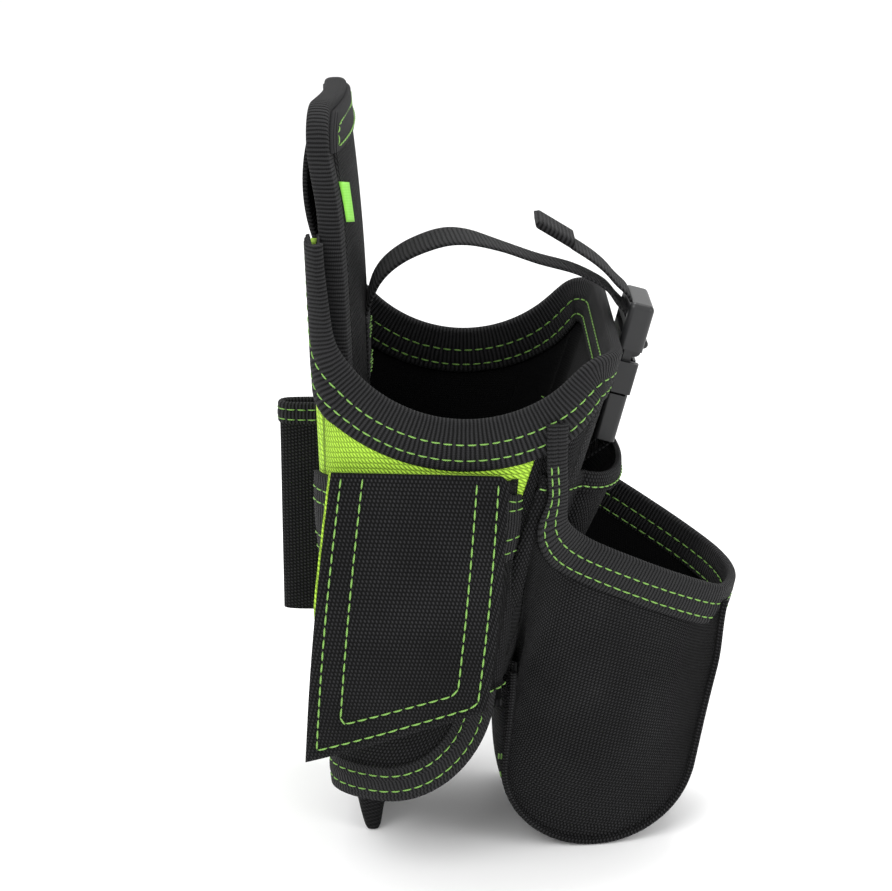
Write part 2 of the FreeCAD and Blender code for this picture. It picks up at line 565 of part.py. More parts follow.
def along(axis):
    """A test for straight edges that run along one axis, 0 to 2."""
    def test(edge):
        if not isinstance(edge.Curve, Part.Line):
            return False
        d = edge.Vertexes[1].Point - edge.Vertexes[0].Point
        return abs(abs((d.x, d.y, d.z)[axis]) - d.Length) < 1e-6
    return test


def make_socket():
    """The buckle's fixed half: a flat sleeve with open sides at its mouth and a web bar at its foot."""
    half, plate = BUCKLE_HALF, SOCKET_PLATE
    body = box(SOCKET_N0, SOCKET_N1, -half, half, SOCKET_LOW, SOCKET_TOP)
    body = round_edges(body, SOCKET_CORNER_R, along(2))
    cavity = box(SOCKET_N0 + plate, SOCKET_N1 - plate, -half + SOCKET_SIDE, half - SOCKET_SIDE,
                 SOCKET_FLOOR, SOCKET_TOP + 5)
    windows = [box(-5, 15, y, y + 2 * WINDOW_DEPTH, SOCKET_LEDGE, SOCKET_TOP + 5)
               for y in (half - WINDOW_DEPTH, -half - WINDOW_DEPTH)]
    web_y = WEB_HALF + BAR_SLOT_PLAY
    slot = box(-5, 15, -web_y, web_y, BAR_S, BAR_SLOT_TOP)
    thin = [box(-5, BAR_N0, -web_y, web_y, SOCKET_LOW - 1, BAR_S + 1),
            box(BAR_N1, 15, -web_y, web_y, SOCKET_LOW - 1, BAR_S + 1)]
    for cutter in windows + thin + [cavity, slot]:
        body = body.cut(cutter)
    return {"buckle_socket": buckle_place(body)}


def make_web_tab():
    """The short webbing that holds the socket: sewn to the front wall, looped round the socket's bar."""
    def on_wall(z, off):
        return front_x(z) + off, z

    def by_bar(n, s):
        point = buckle_point(n, s)
        return point.x, point.z
    n0, n1, top, t = BAR_N0 - TAB_STAND, BAR_N1 + TAB_STAND, BAR_S + TAB_TOP, WEB_T
    low = SOCKET_LOW - 2
    outer = [on_wall(TAB_LOW_Z, 0.1), by_bar(n0, low), by_bar(n0, top - 2), by_bar(n0 + 1.6, top),
             by_bar(n1 - 1.6, top), by_bar(n1, top - 2), by_bar(n1, low),
             on_wall(TAB_HIGH_Z, 2 * t + 0.4), on_wall(TAB_LOW_Z, 2 * t + 0.2)]
    hole = [by_bar(n0 + t, low), by_bar(n0 + t, top - 2.2), by_bar(n0 + 2, top - t), by_bar(n1 - 2, top - t),
            by_bar(n1 - t, top - 2.2), by_bar(n1 - t, low), on_wall(TAB_HIGH_Z + 2, t + 0.4)]
    tab = side_polygon(outer, -WEB_HALF, WEB_HALF).cut(side_polygon(hole))
    return {"socket_web_tab": tab.cut(pouch_volume(0.0))}


def make_plug():
    """The buckle's strap half: a ladder frame, a guide tongue, and two arms that squeeze inwards."""
    half = BUCKLE_HALF
    frame = box(FRAME_N0, FRAME_N1, -half, half, FRAME_LOW, FRAME_TOP)
    frame = round_edges(frame, PLUG_CORNER_R, along(2))
    frame = round_edges(frame, PLUG_EDGE_R, along(1))
    web_y = WEB_HALF + PLUG_SLOT_PLAY
    for low, high in PLUG_SLOTS:
        frame = frame.cut(box(-5, 15, -web_y, web_y, low, high))
    for y0, y1 in ((ARM_Y0 - ARM_GAP, half + 1), (-half - 1, -ARM_Y0 + ARM_GAP)):
        frame = frame.cut(box(-5, 15, y0, y1, 0, ARM_ROOT + ARM_GAP))
    tongue = box(ARM_N0, ARM_N1, -TONGUE_HALF, TONGUE_HALF, TONGUE_TIP, FRAME_LOW + 1)
    ridge = Part.makeCylinder(RIDGE_R, 2 * RIDGE_HALF, V(FRAME_N1, -RIDGE_HALF, RIDGE_S), V(0, 1, 0))
    frame = frame.fuse(tongue).fuse(ridge).removeSplitter()
    parts = {"buckle_plug": buckle_place(frame)}
    for name, side in (("near_release_arm", -1), ("far_release_arm", 1)):
        arm = box(ARM_N0, ARM_N1, ARM_Y0, ARM_Y1, ARM_TIP, ARM_ROOT)
        shoulder = box(SHOULDER_N0, FRAME_N1, SHOULDER_Y0, SHOULDER_Y1,
                       SOCKET_LEDGE + LEDGE_PLAY, SOCKET_TOP)
        shoulder = round_edges(shoulder, SHOULDER_CORNER_R, along(2))
        arm = arm.fuse(shoulder).removeSplitter()
        if side < 0:
            arm = arm.mirror(V(0, 0, 0), V(0, 1, 0))
        parts[name] = buckle_place(arm)
    return parts


def ribbon(points, thick, half=WEB_HALF):
    """A band of webbing along a smooth line in the XZ plane, centred on it."""
    curve = Part.BSplineCurve()
    curve.interpolate([V(x, 0, z) for x, z in points])
    sides = []
    count = len(points) * 3
    first, last = curve.FirstParameter, curve.LastParameter
    for side in (0.5, -0.5):
        row = []
        for k in range(count + 1):
            u = first + (last - first) * k / count
            t = curve.tangent(u)[0]
            row.append(curve.value(u) + V(-t.z, 0, t.x) * (side * thick))
        spline = Part.BSplineCurve()
        spline.interpolate(row)
        sides.append(spline)
    a, b = sides
    edges = [a.toShape(), Part.LineSegment(a.EndPoint, b.EndPoint).toShape(), b.toShape(),
             Part.LineSegment(b.StartPoint, a.StartPoint).toShape()]
    return side_prism(Part.__sortEdges__(edges), -half, half)


def make_strap():
    parts = {"strap_webbing": ribbon(STRAP_PATH, WEB_T), "strap_root": ribbon(ROOT_PATH, WEB_T)}
    anchor = board_slab(-WEB_T, 0, ANCHOR_Z0, ANCHOR_Z1)
    parts["strap_anchor"] = anchor.common(box(-90, 0, -WEB_HALF, WEB_HALF, ANCHOR_Z0, ANCHOR_Z1))
    tail = ribbon(TAIL_PATH, WEB_T)
    (x0, z0), (x1, z1) = TAIL_PATH[-2:]
    length = math.hypot(x1 - x0, z1 - z0)
    ux, uz = (x1 - x0) / length, (z1 - z0) / length
    start = (x1 - ux * TAIL_FOLD, z1 - uz * TAIL_FOLD)
    fold = ribbon([start, ((start[0] + x1) / 2, (start[1] + z1) / 2), (x1, z1)], TAIL_FOLD_T)
    parts["strap_tail"] = tail.fuse(fold)
    return parts


def build():
    parts = {}
    for maker in (make_board, make_belt_loop, make_main_pocket, make_scoop_pocket,
                  make_tool_loop, make_side_pocket, make_flap, make_loop_patch, make_sleeve, make_foot,
                  make_socket, make_web_tab, make_plug, make_strap):
        parts.update(maker())
    return parts


def main():
    parts = build()
    total = FreeCAD.BoundBox()
    for shape in parts.values():
        total.add(shape.optimalBoundingBox())
    move = V(-total.Center.x, -total.Center.y, -total.ZMin)
    os.makedirs("parts", exist_ok=True)
    for name, shape in parts.items():
        shape.translate(move)
        shape.exportStep("parts/%s.step" % name)
        ok = shape.isValid() and shape.Volume > 0
        state = "ok" if ok else "BAD"
        print("%-26s %9.0f mm3  solids %d  %s" % (name, shape.Volume, len(shape.Solids), state))
    print("moved by", move, "size", total.XLength, total.YLength, total.ZLength)
    return parts, move


PARTS, MOVE = main()
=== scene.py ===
"""Looks for the electrician tool pouch: woven fabric, ribbed webbing, green stitching and a plastic buckle.

Lengths in the surface functions are millimetres in the pouch's working frame, where X = 0, Y = 0 lies
inside the main pocket and Z = 0 is the ground; to_row() turns them into the frame's metres.
"""
import json
import math

import bpy
import numpy as np
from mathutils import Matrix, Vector
from mathutils.kdtree import KDTree


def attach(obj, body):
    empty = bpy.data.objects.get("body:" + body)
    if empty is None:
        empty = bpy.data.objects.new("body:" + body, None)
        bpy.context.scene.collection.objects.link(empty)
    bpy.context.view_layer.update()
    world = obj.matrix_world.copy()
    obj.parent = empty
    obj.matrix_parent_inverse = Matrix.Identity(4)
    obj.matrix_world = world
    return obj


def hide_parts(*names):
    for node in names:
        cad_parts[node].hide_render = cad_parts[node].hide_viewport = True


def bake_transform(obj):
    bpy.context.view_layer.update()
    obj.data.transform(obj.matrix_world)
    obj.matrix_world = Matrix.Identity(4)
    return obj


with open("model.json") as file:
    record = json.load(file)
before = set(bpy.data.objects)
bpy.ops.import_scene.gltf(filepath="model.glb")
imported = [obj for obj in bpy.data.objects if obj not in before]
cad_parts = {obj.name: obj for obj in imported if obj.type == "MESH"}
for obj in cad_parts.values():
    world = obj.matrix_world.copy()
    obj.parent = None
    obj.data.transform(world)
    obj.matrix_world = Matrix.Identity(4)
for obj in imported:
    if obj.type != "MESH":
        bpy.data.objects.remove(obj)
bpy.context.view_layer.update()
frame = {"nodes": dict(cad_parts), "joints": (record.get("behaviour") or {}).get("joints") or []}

MM = 0.001

# ---- where the working frame lies in the row frame ----
HINGE = np.array([-32.4, 0.0, 231.6])
STRAP_JOINT = next(j for j in frame["joints"] if j["name"] == "strap_swing")
SHIFT = np.array(STRAP_JOINT["pos_m"]) / MM - HINGE

# ---- main pocket ----
WALL = 3.0
RIM_FRONT_X, RIM_FRONT_Z, FRONT_LEAN = 69.5, 229.4, 0.31
REAR_X, REAR_LEAN, BASE_Z = -46.5, 0.031, 45.0
REAR_R, FRONT_R = 8.0, 22.0
FLANGE_Y, FLANGE_TOP = 44.0, 277.0
SADDLE = (8.0, 264.0, 60.0)
HALF_AT_BASE, HALF_GAIN, GAIN_HEIGHT = 66.0, 5.5, 155.0
FLANGE_EDGE_X = -47.8
WALL_TOP_GAP = 3.5
BOTTOM = (-27.0, 90.5, 46.2)
RIM_BAND = 19.0
RIM_ROWS = (7.6, 14.3)

# ---- back board ----
BOARD_X, BOARD_PLAN_R, BOARD_LEAN_R = -34.3, 370.0, 1100.0
BOARD_Z0, BOARD_Z1, BOARD_HALF, BOARD_R = 48.3, 325.5, 60.0, 20.0
BOARD_T = 7.2
CAP_FOOT = 310.0
MARK_Z0, MARK_Z1, MARK_REAR_Y, MARK_FRONT_Y = 281.0, 298.0, -47.0, -30.0
LOOP_Z0, LOOP_Z1, LOOP_HALF, LOOP_GAP = 254.0, 319.0, 38.0, 7.4

# ---- scoop pocket ----
SCOOP_ARC = (65.6, 45.2, 45.2)
SCOOP_LEAN = math.radians(12.5)
SCOOP_RIM = (81.0, 181.8, 40.0)
SCOOP_SLOPE = math.atan(0.54)
NOSE_X = 126.5
SCOOP_REAR, SCOOP_RIM_LIFT = 52.0, 12.0
SCOOP_ROWS = (6.5, 13.0)

# ---- side pocket and flap ----
POCKET_TOP, MOUTH_FOOT = 182.0, 147.5
FLAP_ARC = ((-77.0, 190.0), (-91.0, 148.0), (-92.5, 60.0))
FLAP_TL, FLAP_TR, FLAP_BR, FLAP_BL = (-45.5, 186.8), (25.2, 185.3), (16.6, 91.7), (-57.0, 67.7)
FLAP_ROWS = (4.3, 13.0)
FLAP_WIDE, FLAP_DROP = 72.0, 105.0

# ---- tool loop ----
LOOP_FOOT, LOOP_TOP = 118.0, 190.0

# ---- sleeve and foot ----
SLEEVE_X0, SLEEVE_X1, SLEEVE_DEPTH, SLEEVE_Y = -77.0, -20.0, 10.5, 71.7 + 5.25
SLEEVE_Z0, SLEEVE_Z1 = 69.5, 169.2
SLEEVE_ROWS = (1.8, 6.6)
FOOT_TOP = 46.5

# ---- strap, as (x, z) points, and the socket's lean ----
STRAP_HALF, TAIL_HALF = 12.5, 12.4
STRAP_LINE = [(-34.2, 224.0), (-33.9, 232.0), (-28.8, 247.5), (-18.9, 257.3), (-4.0, 263.8),
              (8.0, 264.6), (22.0, 261.0), (38.0, 255.5), (54.0, 251.0), (66.0, 244.8),
              (71.8, 238.2), (75.5, 234.5), (78.5, 232.3)]
TAIL_LINE = [(77.5, 239.0), (75.4, 242.6), (71.0, 246.8), (65.5, 252.8), (57.0, 259.2), (36.4, 271.8)]
SOCKET_LEAN = math.radians(14.5)
SOCKET_AT = (70.4, 215)

MIRROR = np.array([1, -1, 1])

# ---- colours, linear ----
BLACK = (0.0075, 0.0075, 0.0079)
WEB_BLACK = (0.0095, 0.0095, 0.0099)
LINING_BLACK = (0.0055, 0.0055, 0.0058)
LIME = (0.34, 0.57, 0.053)
THREAD = (0.205, 0.40, 0.095)


def to_row(points):
    return (np.asarray(points, float) + SHIFT) * MM


# ------------------------------------------------------------------ materials
class Nodes:
    """Short helpers for one procedural material."""

    def __init__(self, name):
        self.material = bpy.data.materials.new(name)
        self.material.use_nodes = True
        self.tree = self.material.node_tree
        self.shader = self.tree.nodes["Principled BSDF"]

    def add(self, kind, **inputs):
        node = self.tree.nodes.new(kind)
        for key, value in inputs.items():
            setattr(node, key, value)
        return node

    def link(self, source, target):
        self.tree.links.new(source, target)

    def feed(self, socket, value):
        if isinstance(value, (int, float)):
            socket.default_value = value
        else:
            self.link(value, socket)

    def math(self, operation, a, b=0.0, c=0.0):
        node = self.add("ShaderNodeMath", operation=operation)
        for socket, value in zip(node.inputs, (a, b, c)):
            self.feed(socket, value)
        return node.outputs[0]

    def uv(self):
        split = self.add("ShaderNodeSeparateXYZ")
        self.link(self.add("ShaderNodeTexCoord").outputs["UV"], split.inputs[0])
        return split.outputs[0], split.outputs[1]

    def noise(self, scale, detail=3.0, coordinates="Object"):
        node = self.add("ShaderNodeTexNoise")
        node.inputs["Scale"].default_value = scale
        node.inputs["Detail"].default_value = detail
        self.link(self.add("ShaderNodeTexCoord").outputs[coordinates], node.inputs["Vector"])
        return node.outputs["Fac"]

    def ramp(self, value, stops):
        node = self.add("ShaderNodeValToRGB")
        elements = node.color_ramp.elements
        for k, (position, colour) in enumerate(stops):
            element = elements[k] if k < 2 else elements.new(position)
            element.position = position
            element.color = (*colour, 1.0)
        self.link(value, node.inputs[0])
        return node.outputs[0]

    def spread(self, value, low, high):
        node = self.add("ShaderNodeMapRange")
        self.link(value, node.inputs["Value"])
        node.inputs["To Min"].default_value = low
        node.inputs["To Max"].default_value = high
        return node.outputs[0]

    def bump(self, height, distance, strength=1.0, below=None):
        node = self.add("ShaderNodeBump")
        node.inputs["Distance"].default_value = distance
        node.inputs["Strength"].default_value = strength
        self.link(height, node.inputs["Height"])
        if below is not None:
            self.link(below, node.inputs["Normal"])
        return node.outputs[0]

    def finish(self, colour, roughness, normal=None, sheen=0.0, specular=0.07):
        self.link(colour, self.shader.inputs["Base Color"])
        self.feed(self.shader.inputs["Roughness"], roughness)
        if normal is not None:
            self.link(normal, self.shader.inputs["Normal"])
        self.shader.inputs["Sheen Weight"].default_value = sheen
        self.shader.inputs["Sheen Roughness"].default_value = 0.45
        self.shader.inputs["Specular IOR Level"].default_value = specular
        return self.material


def scaled(colour, factor):
    return tuple(min(1.0, c * factor) for c in colour)


def wave(n, value, pitch, phase=0.0):
    """A 0 to 1 wave with the given pitch in metres."""
    turn = n.math("MULTIPLY_ADD", value, 2 * math.pi / pitch, phase)
    return n.math("MULTIPLY_ADD", n.math("SINE", turn), 0.5, 0.5)


def woven(name, colour, pitch, slant, depth, lift, low=0.35, roughness=(0.62, 0.8), sheen=0.02):
    """A plain or basket weave: raised yarn dots in staggered rows; slant shears the rows into a twill. The
    colour is painted lighter on the raised dots (painted highlight, up to lift times the colour) and darker
    in the gaps between them (painted shade, down to low times it), over random tone.
    """
    n = Nodes(name)
    u, v = n.uv()
    row = n.math("MULTIPLY", v, 1.0 / pitch)
    shifted = n.math("MULTIPLY_ADD", v, slant, u)
    stagger = n.math("MULTIPLY", n.math("FLOOR", row), 0.5 * pitch)
    across = wave(n, n.math("ADD", shifted, stagger), pitch)
    along = n.math("ABSOLUTE", n.math("SINE", n.math("MULTIPLY", row, math.pi)))
    dots = n.math("MULTIPLY", n.math("POWER", across, 0.6), n.math("POWER", along, 0.5))
    fibres = wave(n, u, pitch / 5.0)
    height = n.math("MULTIPLY_ADD", fibres, 0.08, dots)
    broad = n.noise(28.0, 4.0)
    fine = n.noise(900.0, 2.0)
    tone = n.math("MULTIPLY_ADD", broad, 0.35, n.math("MULTIPLY", dots, 0.65))
    tone = n.math("MULTIPLY_ADD", fine, 0.12, tone)
    # tint: painted highlight on the raised yarn dots and painted shade in the gaps between them, mixed with
    # random tone from the noise
    tint = n.ramp(tone, [(0.28, scaled(colour, low)), (0.6, colour), (0.92, scaled(colour, lift))])
    normal = n.bump(broad, 0.0006, 0.5)
    normal = n.bump(height, depth, 1.0, normal)
    rough = n.spread(n.math("MULTIPLY_ADD", dots, -0.5, broad), *roughness[::-1])
    return n.finish(tint, rough, normal, sheen)


def ribbed(name, colour, pitch=0.0016, depth=0.0007, lift=2.8):
    """Webbing: raised cross ribs along U, with fine yarn steps across them along V. The colour is painted
    lighter on the raised ribs (painted highlight, up to lift times the colour) and much darker in the gaps
    between them (painted shade), over random tone.
    """
    n = Nodes(name)
    u, v = n.uv()
    wobble = n.math("MULTIPLY_ADD", n.noise(160.0, 1.0), 0.0005, u)
    rib = n.math("POWER", wave(n, wobble, pitch), 0.55)
    yarn = n.math("ABSOLUTE", n.math("SINE", n.math("MULTIPLY", v, math.pi / 0.00075)))
    height = n.math("MULTIPLY_ADD", yarn, 0.22, rib)
    broad = n.noise(40.0, 3.0)
    fuzz = n.noise(2200.0, 2.0)
    tone = n.math("MULTIPLY_ADD", broad, 0.25, n.math("MULTIPLY", height, 0.6))
    tone = n.math("MULTIPLY_ADD", fuzz, 0.15, tone)
    # tint: painted shade in the gaps between ribs (0.12 times the colour) and painted highlight on the
    # raised ribs (lift times it)
    tint = n.ramp(tone, [(0.2, scaled(colour, 0.12)), (0.52, colour), (0.9, scaled(colour, lift))])
    normal = n.bump(fuzz, 0.00008, 0.6)
    normal = n.bump(height, depth, 1.0, normal)
    return n.finish(tint, n.spread(broad, 0.66, 0.84), normal, 0.04)


def thread_material():
    n = Nodes("green_thread")
    u, v = n.uv()
    twist = wave(n, n.math("MULTIPLY_ADD", v, 0.7, u), 0.0009)
    tint = n.ramp(n.math("MULTIPLY_ADD", n.noise(70.0), 0.3, n.math("MULTIPLY", twist, 0.7)),
                  [(0.1, scaled(THREAD, 0.62)), (0.55, THREAD), (1.0, scaled(THREAD, 1.15))])
    return n.finish(tint, 0.5, n.bump(twist, 0.00012, 0.8), 0.02)


def lining_material():
    n = Nodes("black_lining")
    u, v = n.uv()
    knit = n.math("MULTIPLY", wave(n, u, 0.0011), wave(n, v, 0.0011))
    broad = n.noise(30.0, 4.0)
    tint = n.ramp(n.math("MULTIPLY_ADD", knit, 0.4, n.math("MULTIPLY", broad, 0.6)),
                  [(0.15, scaled(LINING_BLACK, 0.5)), (0.6, LINING_BLACK), (1.0, scaled(LINING_BLACK, 1.7))])
    return n.finish(tint, n.spread(broad, 0.8, 0.95), n.bump(knit, 0.00015, 0.8), 0.03)


def plastic_material():
    n = Nodes("satin_acetal")
    grain = n.noise(1600.0, 3.0)
    broad = n.noise(45.0, 3.0)
    colour = (0.0125, 0.0127, 0.0135)
    tint = n.ramp(broad, [(0.3, scaled(colour, 0.8)), (0.75, scaled(colour, 1.25))])
    rough = n.spread(n.math("MULTIPLY_ADD", grain, 0.4, n.math("MULTIPLY", broad, 0.6)), 0.3, 0.44)
    return n.finish(tint, rough, n.bump(grain, 0.00004, 0.5), 0.0, 0.4)


def floor_material():
    n = Nodes("pale_floor")
    broad = n.noise(3.0, 3.0)
    tint = n.ramp(broad, [(0.3, (0.95, 0.95, 0.95)), (0.7, (0.97, 0.97, 0.97))])
    return n.finish(tint, n.spread(broad, 0.6, 0.75), n.bump(n.noise(300.0), 0.00005, 0.2), 0.0, 0.2)


# In these materials lift is a painted highlight on the raised yarns or ribs, and low a painted shade in the
# gaps between them
BALLISTIC = woven("black_ballistic", BLACK, 0.0016, slant=0.3, depth=0.0008, lift=4.0)
# The board twill is the black darkened to 0.55 as painted shade, offsetting the key light that the board's
# front faces
TWILL = woven("board_twill", scaled(BLACK, 0.55), 0.0024, slant=0.55, depth=0.0009, lift=4.0)
FLAP_WEAVE = woven("flap_weave", BLACK, 0.0016, slant=0.3, depth=0.0008, lift=4.0)
LIME_WEAVE = woven("lime_weave", LIME, 0.0022, slant=0.6, depth=0.0005, lift=1.45,
                   low=0.6, roughness=(0.5, 0.7), sheen=0.05)
WEBBING = ribbed("ribbed_webbing", WEB_BLACK)
FINE_WEB = ribbed("fine_webbing", WEB_BLACK, pitch=0.0019, depth=0.0005, lift=2.4)
THREAD_MAT = thread_material()
LINING = lining_material()
PLASTIC = plastic_material()


# ------------------------------------------------------------------ mesh tools
def unit(vectors):
    return vectors / np.maximum(np.linalg.norm(vectors, axis=-1, keepdims=True), 1e-9)


def smooth(t):
    t = np.clip(t, 0.0, 1.0)
    return t * t * (3 - 2 * t)


def mix(a, b, t):
    return a + (b - a) * t


def stack(x, y, z):
    return np.stack(np.broadcast_arrays(x, y, z), axis=-1)


def spaced(points, length, at):
    """Points of a polyline at the running lengths in at."""
    return np.stack([np.interp(at, length, column) for column in points.T], -1)


def facing(direction, like):
    """One direction repeated for every point of a line."""
    return np.broadcast_to(np.array(direction, float), like.shape)


def boxy(value, power):
    """Flattens a cosine or sine towards a rounded box, keeping its sign."""
    return np.sign(value) * np.abs(value) ** power


def turned(uv):
    """Per-corner UVs for quads whose corners run the other way."""
    return uv.reshape(-1, 4, 2)[:, ::-1].reshape(-1, 2)


def arc_length(points, axis=0):
    steps = np.linalg.norm(np.diff(points, axis=axis), axis=-1)
    zero = np.zeros_like(np.take(steps, [0], axis=axis))
    return np.concatenate([zero, np.cumsum(steps, axis=axis)], axis=axis)


def build(name, vertices, faces, uvs, material_of_face, materials, flat=False):
    """One mesh object from millimetre vertices, per-corner metre UVs and a material index per face."""
    mesh = bpy.data.meshes.new(name)
    mesh.from_pydata(to_row(vertices).tolist(), [], [list(map(int, f)) for f in faces])
    layer = mesh.uv_layers.new(name="UVMap")
    layer.data.foreach_set("uv", np.concatenate([np.asarray(u, float).ravel() for u in uvs]) * MM)
    mesh.polygons.foreach_set("material_index", np.asarray(material_of_face, np.int32))
    mesh.polygons.foreach_set("use_smooth", np.full(len(faces), not flat))
    for material in materials:
        mesh.materials.append(material)
    mesh.update()
    mesh.validate()
    piece = bpy.data.objects.new(name, mesh)
    bpy.context.collection.objects.link(piece)
    return piece


def grid_quads(rows, columns, start=0, wrap=False):
    """Vertex quads of a grid stored row by row; wrap joins the last column to the first."""
    i, j = np.meshgrid(np.arange(rows - 1), np.arange(columns if wrap else columns - 1), indexing="ij")
    k = (j + 1) % columns
    quads = np.stack([i * columns + j, (i + 1) * columns + j, (i + 1) * columns + k, i * columns + k], -1)
    return quads.reshape(-1, 4) + start


def corner_uvs(u, v, rows, columns, wrap=False):
    """Per-corner UVs in the order of grid_quads; the wrapped column goes on counting past the seam."""
    if wrap:
        girth = v[:, -1:] + np.abs(v[:, -1:] - v[:, -2:-1])
        u = np.concatenate([u, u[:, :1]], axis=1)
        v = np.concatenate([v, girth], axis=1)
        columns += 1
    quads = grid_quads(rows, columns)
    flat = np.stack([u.ravel(), v.ravel()], -1)
    return flat[quads.ravel()]


def slab(name, outer, inner, outside, inside, turn=False):
    """A closed panel between two point grids of the same size, with its own material on each side."""
    rows, columns = outer.shape[:2]
    u, v = arc_length(outer, 0), arc_length(outer, 1)
    if turn:
        u, v = v, u
    count = rows * columns
    top = grid_quads(rows, columns)
    under = grid_quads(rows, columns, count)[:, ::-1]
    uv_top = corner_uvs(u, v, rows, columns)
    uv_under = turned(uv_top)
    whole = np.arange(count).reshape(rows, columns)
    index = np.concatenate([whole[:, 0], whole[-1, 1:], whole[-2::-1, -1], whole[0, -2:0:-1]])
    nxt = np.roll(index, -1)
    rim = np.stack([nxt, index, index + count, nxt + count], -1)
    flat = np.stack([u.ravel(), v.ravel()], -1)
    uv_rim = flat[np.stack([nxt, index, index, nxt], -1).ravel()]
    faces = np.concatenate([top, under, rim])
    kinds = [0] * len(top) + [1] * len(under) + [0] * len(rim)
    vertices = np.concatenate([outer.reshape(-1, 3), inner.reshape(-1, 3)])
    return build(name, vertices, faces, [uv_top, uv_under, uv_rim], kinds, [outside, inside])


def frames(path, normals):
    """Unit normals and downs for a band whose edge runs along path on a surface with those normals."""
    tangent = unit(np.gradient(path, axis=0))
    normal = unit(normals - (normals * tangent).sum(-1, keepdims=True) * tangent)
    return normal, np.cross(tangent, normal)


def sweep(name, path, normal, down, section, material, flip=False):
    """A closed solid: the section's (n, d) loop carried along path by its normal and down vectors."""
    section = np.asarray(section, float)
    points = path[:, None] + normal[:, None] * section[None, :, :1] + down[:, None] * section[None, :, 1:]
    return loop_mesh(name, points, path, material, flip)


def loop_mesh(name, points, path, material, flip=False):
    """A closed tube through rows of points, with flat ends; U runs along the path."""
    rows, columns = points.shape[:2]
    u = np.broadcast_to(arc_length(path, 0)[:, None], (rows, columns))
    v = arc_length(points, 1)
    quads = grid_quads(rows, columns, 0, True)
    uv = corner_uvs(u, v, rows, columns, True)
    if flip:
        quads = quads[:, ::-1]
        uv = turned(uv)
    caps, cap_uvs = [], []
    for row, turn in ((0, flip), (rows - 1, not flip)):
        loop = list(range(row * columns, (row + 1) * columns))
        loop = loop if turn else loop[::-1]
        caps.append(loop)
        cap_uvs.append(np.stack([u.ravel()[loop], v.ravel()[loop]], -1))
    faces = [list(q) for q in quads] + caps
    return build(name, points.reshape(-1, 3), faces, [uv] + cap_uvs, [0] * len(faces), [material])


def along_path(path, normals, spacing):
    """Points and normals at even spacing along a polyline, with the unit tangent at each."""
    length = arc_length(path)
    count = max(2, int(length[-1] / spacing))
    at = np.linspace(0, length[-1], count + 1)
    p = spaced(path, length, at)
    q = unit(spaced(normals, length, at))
    return p, q, unit(np.gradient(p, axis=0))


STITCHES = {}


def stitches(body, path, normals, length=4.1, pitch=4.8, radius=0.31, seed=1):
    """A row of thread stitches lying on a surface: each a low humped bead whose ends dive into the cloth."""
    rng = np.random.default_rng(seed)
    p, q, t = along_path(np.asarray(path, float), np.asarray(normals, float), pitch)
    ring = np.linspace(0, 2 * math.pi, 7)[:-1]
    steps = np.linspace(-1, 1, 7)
    vertices, faces, uvs = [], [], []
    for k in range(len(p) - 1):
        middle = (p[k] + p[k + 1]) / 2
        n = unit(q[k] + q[k + 1])
        along = unit(p[k + 1] - p[k] + rng.normal(0, 0.05, 3) * pitch * 0.4)
        side = np.cross(n, along)
        half = length / 2 * rng.uniform(0.93, 1.05)
        base = len(vertices)
        for s in steps:
            r = radius * (1 - 0.72 * abs(s) ** 3)
            centre = middle + along * half * s + n * (0.24 - 0.52 * abs(s) ** 3)
            for a in ring:
                vertices.append(centre + side * (r * 1.15 * math.cos(a)) + n * (r * 0.85 * math.sin(a)))
        for row in range(len(steps) - 1):
            for c in range(6):
                d = (c + 1) % 6
                low, high = base + row * 6, base + row * 6 + 6
                faces.append([low + c, low + d, high + d, high + c])
                x0, x1 = half * steps[row], half * steps[row + 1]
                uvs.append([[x0, c * 0.4], [x0, c * 0.4 + 0.4], [x1, c * 0.4 + 0.4], [x1, c * 0.4]])
        faces.append([base + c for c in range(5, -1, -1)])
        uvs.append([[0, 0]] * 6)
        faces.append([base + (len(steps) - 1) * 6 + c for c in range(6)])
        uvs.append([[0, 0]] * 6)
    STITCHES.setdefault(body, []).append((np.array(vertices), faces, uvs))


def sew(name, body):
    """Joins the stitch rows collected for one body into a piece that rides on it."""
    vertices, faces, uvs = [], [], []
    count = 0
    for points, quads, corners in STITCHES.pop(body, []):
        vertices.append(points)
        faces += [[i + count for i in f] for f in quads]
        uvs += corners
        count += len(points)
    piece = build(name, np.concatenate(vertices), faces, uvs, [0] * len(faces), [THREAD_MAT])
    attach(piece, body)
    return piece


def keep(piece, body, slot_name, *nodes):
    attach(piece, body)
    if nodes:
        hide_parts(*nodes)
    return piece


